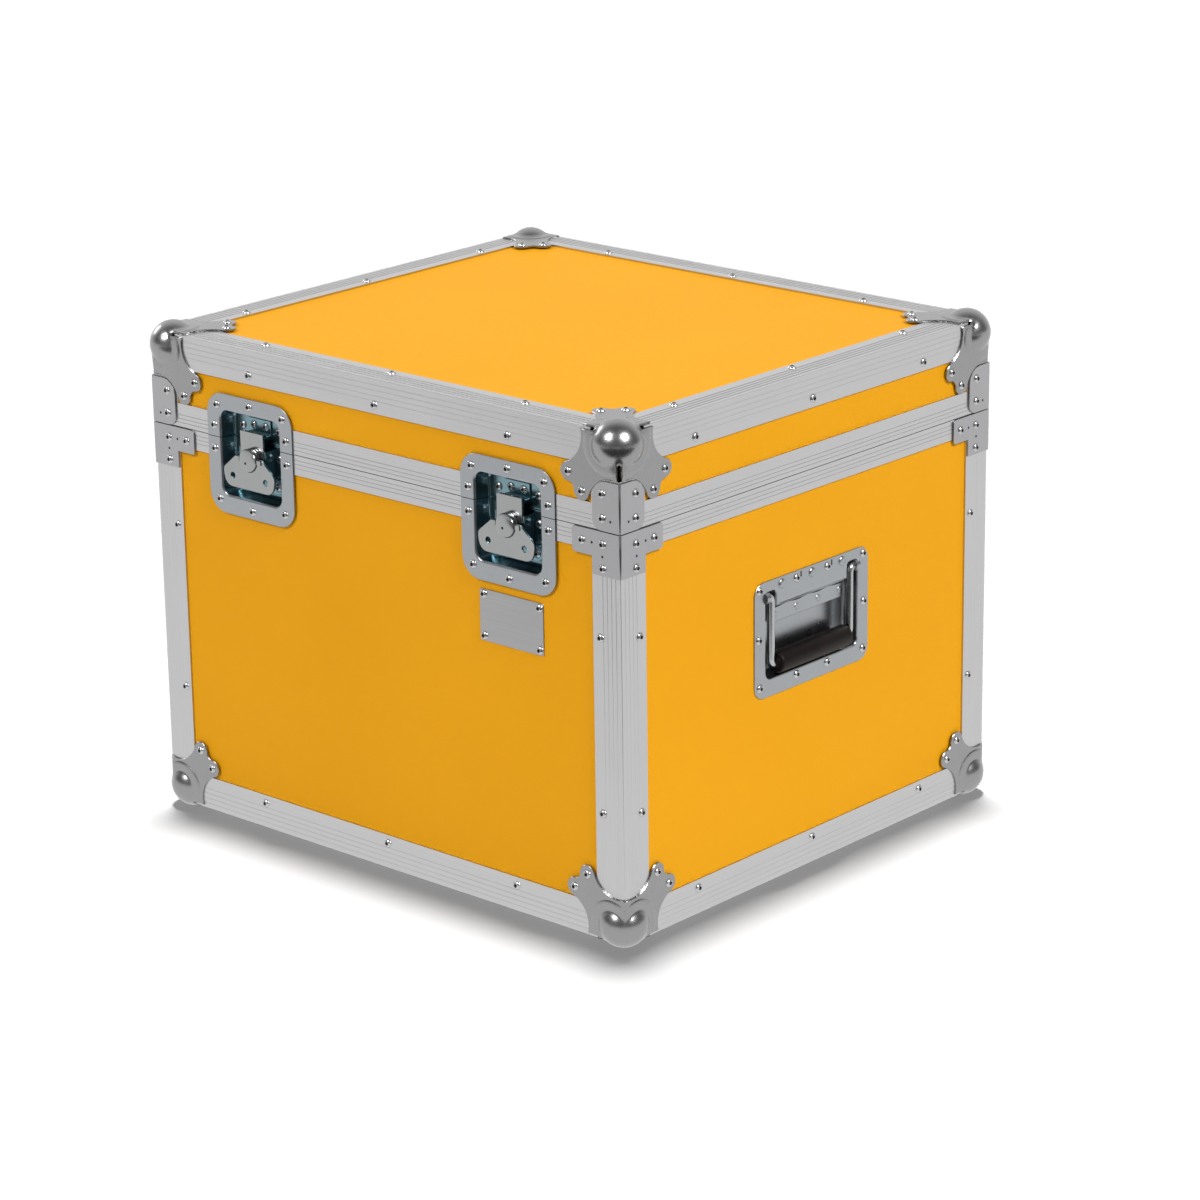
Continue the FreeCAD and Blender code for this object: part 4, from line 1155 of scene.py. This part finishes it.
def rivet_shape():
    """Domed head of a blind rivet on the plane z = 0, closed below it, with the hole its mandrel left, its
    inside in painted shade.
    """
    shape = bmesh.new()
    profile = [(0, -seat_sink), (rivet_radius, -seat_sink), (rivet_radius, 0)]
    for turn in rivet_turns:
        angle = math.radians(turn)
        profile.append((rivet_radius * math.cos(angle), rivet_height * math.sin(angle)))
    floor = rivet_height - rivet_hole_depth
    profile += [(rivet_hole, rivet_height * rivet_rim), (rivet_hole * rivet_hole_taper, floor), (0, floor)]
    points = [(radius, 0, height) for radius, height in profile]
    turn_solid(shape, points, (0, 0, 1), (0, 0, 0), rivet_steps)
    bmesh.ops.recalc_face_normals(shape, faces=shape.faces)
    for face in shape.faces:
        face.smooth = True
        # Faces inside the mandrel's hole take the near-black painted shade.
        in_hole = max(vertex.co.xy.length for vertex in face.verts) < rivet_hole + on_plane
        face.material_index = int(in_hole)
    for edge in shape.edges:
        edge.smooth = max(end.co.z for end in edge.verts) > on_plane
    return finished_mesh(shape, "rivet head")


def rivet_seats(node):
    """Place and outward direction of every rivet in a CAD node."""
    shape = merged_mesh(node)
    axes = [Vector((1, 0, 0)), Vector((0, 1, 0)), Vector((0, 0, 1))]
    seats = []
    for group in islands(shape):
        centre = sum((vertex.co for vertex in group), Vector()) / len(group)
        faces = {face for vertex in group for face in vertex.link_faces}

        def flat_area(way):
            return sum(face.calc_area() for face in faces if face.normal.dot(way) > seat_level)

        outward = -max((axis * sign for axis in axes for sign in (1, -1)), key=flat_area)
        depth = min((vertex.co - centre).dot(outward) for vertex in group)
        seats.append((centre + outward * depth, outward))
    shape.free()
    return seats


def rivet_heads(node, template, finishes):
    """Domed heads in place of a CAD node's plain ones."""
    shape = bmesh.new()
    for place, outward in rivet_seats(node):
        add_copy(shape, template, facing(outward, place))
    return make_piece(shape, node + "_domed", node, finishes)


def add_camera():
    """Camera at the photograph's place and angle."""
    back = Vector((
        math.sin(camera_azimuth) * math.cos(camera_elevation),
        -math.cos(camera_azimuth) * math.cos(camera_elevation),
        math.sin(camera_elevation),
    ))
    level = Vector((math.cos(camera_azimuth), math.sin(camera_azimuth), 0))
    up = back.cross(level)
    right = level * math.cos(camera_roll) + up * math.sin(camera_roll)
    top = up * math.cos(camera_roll) - level * math.sin(camera_roll)
    data = bpy.data.cameras.new("camera")
    data.lens = camera_lens
    data.sensor_width = camera_sensor
    data.clip_end = camera_far
    camera = add_object("camera", data)
    turn = Matrix((right, top, back)).transposed().to_4x4()
    camera.matrix_world = Matrix.Translation(camera_place) @ turn
    bpy.context.scene.camera = camera


def add_soft_light(name, towards, strength, angle):
    """Far soft light that stands in a direction from the case, so wide in degrees."""
    data = bpy.data.lights.new(name, "SUN")
    data.energy = strength
    data.angle = math.radians(angle)
    light = add_object(name, data)
    light.matrix_world = facing(Vector(towards))
    return light


def link_light(light, receivers, state):
    """Let a light reach some pieces only, or everything but them."""
    group = bpy.data.collections.new(light.name + " link")
    for receiver in receivers:
        group.objects.link(receiver)
    for member in group.collection_objects:
        member.light_linking.link_state = state
    light.light_linking.receiver_collection = group


def stage_sheet(name, corners, shade):
    """Flat grey sheet that belongs to the stage, through corners in metres."""
    shape = bmesh.new()
    shape.faces.new([shape.verts.new(corner) for corner in corners])
    mesh = finished_mesh(shape, name)
    finish, tree, shader = new_finish(name, 0.0, 0.9)
    feed(tree, shader, {"Base Color": (shade, shade, shade, 1), "Specular IOR Level": 0.0})
    mesh.materials.append(finish)
    sheet = add_object(name, mesh)
    return sheet


def studio_world():
    """Surroundings: a white backdrop behind the case and a dark room elsewhere."""
    world = bpy.data.worlds.new("studio")
    world.use_nodes = True
    tree = world.node_tree
    way = add_node(tree, "TexCoord", {}).outputs["Generated"]
    backdrop = Vector(backdrop_way).normalized()
    likeness = add_node(tree, "VectorMath", {0: way, 1: backdrop}, operation="DOT_PRODUCT").outputs["Value"]
    behind = add_node(tree, "MapRange", {"Value": likeness, "From Min": -1.0}).outputs["Result"]
    room = ramp(tree, behind, 0.55, 0.85, (room_shade,) * 3, (backdrop_shade,) * 3)
    feed(tree, tree.nodes["Background"], {"Color": room})
    return world


def add_studio(edges):
    """Pale floor with light of its own, two sheets that only reflections show and that paint reflections into
    the metal, a glowing white floor without shadows and a dark card, and soft light on the case.
    """
    square = rectangle(floor_reach, -floor_reach, floor_reach)
    floor = stage_sheet("pale floor", [(x, y, 0) for x, y in square], floor_shade)
    # A white glowing sheet, seen only in reflections, paints an unshadowed floor into the metal.
    floor_glow = stage_sheet("glowing floor painted into reflections", [(x, y, glow_lift) for x, y in square], 0)
    glow = floor_glow.data.materials[0].node_tree
    feed(glow, glow.nodes["Principled BSDF"], {"Emission Color": (1, 1, 1, 1), "Emission Strength": 1.0})
    # A near-black card towards the camera, seen only in reflections, paints a dark reflection into the metal.
    ahead = Vector((math.sin(camera_azimuth), -math.cos(camera_azimuth), 0))
    aside = Vector((math.cos(camera_azimuth), math.sin(camera_azimuth), 0))
    spots = reversed(rectangle(card_half, card_near, card_far))
    corners = [ahead * away + aside * along + Vector((0, 0, card_lift)) for along, away in spots]
    for mirrored in (floor_glow, stage_sheet("dark card painted into reflections", corners, card_shade)):
        mirrored.visible_camera = False
        mirrored.visible_diffuse = False
        mirrored.visible_shadow = False
    bpy.context.scene.world = studio_world()
    link_light(add_soft_light("floor light", *floor_light), [floor], "INCLUDE")
    fill = add_soft_light("floor fill", *floor_fill)
    fill.data.use_shadow = False
    link_light(fill, [floor], "INCLUDE")
    link_light(add_soft_light("light above the edges", *edge_light), edges, "INCLUDE")
    for name, towards, strength, mirrored in case_lights:
        light = add_soft_light(name, towards, strength, case_light_width)
        light.visible_glossy = mirrored
        link_light(light, [floor], "EXCLUDE")
    bpy.context.scene.view_settings.view_transform = "Standard"


aluminium = (0.58, 0.575, 0.58)
extrusion_finish = {}
for way in "xyz":
    extrusion_finish[way] = drawn_metal("extrusion along " + way, aluminium, 0.32, lines_along(way), 0.1)
board = board_finish()
corner_metal = plated_metal("plated corner", (0.33, 0.33, 0.335), 0.26)
brace_metal = plated_metal("plated brace", (0.415, 0.41, 0.42), 0.28)
dish_metal = plated_metal("plated dish", (0.375, 0.39, 0.405), 0.28)
# Darker, bluer copy of the dish steel: painted shade inside the recesses of the latches
shaded_inside_metal = plated_metal("plated dish with painted shade inside", (0.21, 0.33, 0.37), 0.24)
latch_metal = plated_metal("plated latch", (0.36, 0.367, 0.367), 0.2)
bail_metal = plated_metal("plated bail", (0.48, 0.49, 0.49), 0.2)
rivet_metal = plated_metal("rivet", (0.56, 0.56, 0.57), 0.26)
plate_metal = drawn_metal("bare plate", (0.42, 0.42, 0.425), 0.35, lines_along("x"), 0.15)
grip_black = grip_finish()
# Near-black painted shade for holes, slots and gaps
shade_in_holes = painted_shade_finish()
plain_finish = {"dish_steel": dish_metal, "plated_steel": latch_metal, "plate": plate_metal}

rivet_template = rivet_shape()
edges = []
for node, slot_name in node_slot.items():
    side = -1 if node.endswith("left") else 1
    if slot_name == "rivet":
        rivet_heads(node, rivet_template, [rivet_metal, shade_in_holes])
    elif slot_name == "extrusion":
        edges.append(fine_extrusion(node, extrusion_finish[extrusion_way(node)]))
    elif slot_name == "yellow_board":
        nodes[node].data.materials.clear()
        nodes[node].data.materials.append(board)
    elif node.endswith("_ball_corners"):
        ball_corners(node, corner_metal)
    elif node.endswith("_braces"):
        corner_braces(node, [brace_metal, shade_in_holes])
    elif node.endswith("_dishes"):
        latch_dishes(node, [dish_metal, shaded_inside_metal])
    # Latch beds and keepers sit in the recess and take the painted shade of the dish's inside.
    elif node in ("latch_beds", "latch_keepers"):
        softened_copy(node, shaded_inside_metal)
    elif "_spindle_" in node:
        turned_spindle(node, side, [latch_metal, shade_in_holes])
    elif "_dish_" in node:
        handle_dish(node, side, [dish_metal, shade_in_holes])
    elif node == "handle_covers":
        handle_covers(node, [dish_metal, shade_in_holes])
    elif "_bail_" in node:
        round_bail(node, side, bail_metal)
    elif "_grip_" in node:
        round_grip(node, side, grip_black)
    else:
        softened_copy(node, plain_finish[slot_name])

add_camera()
add_studio(edges)
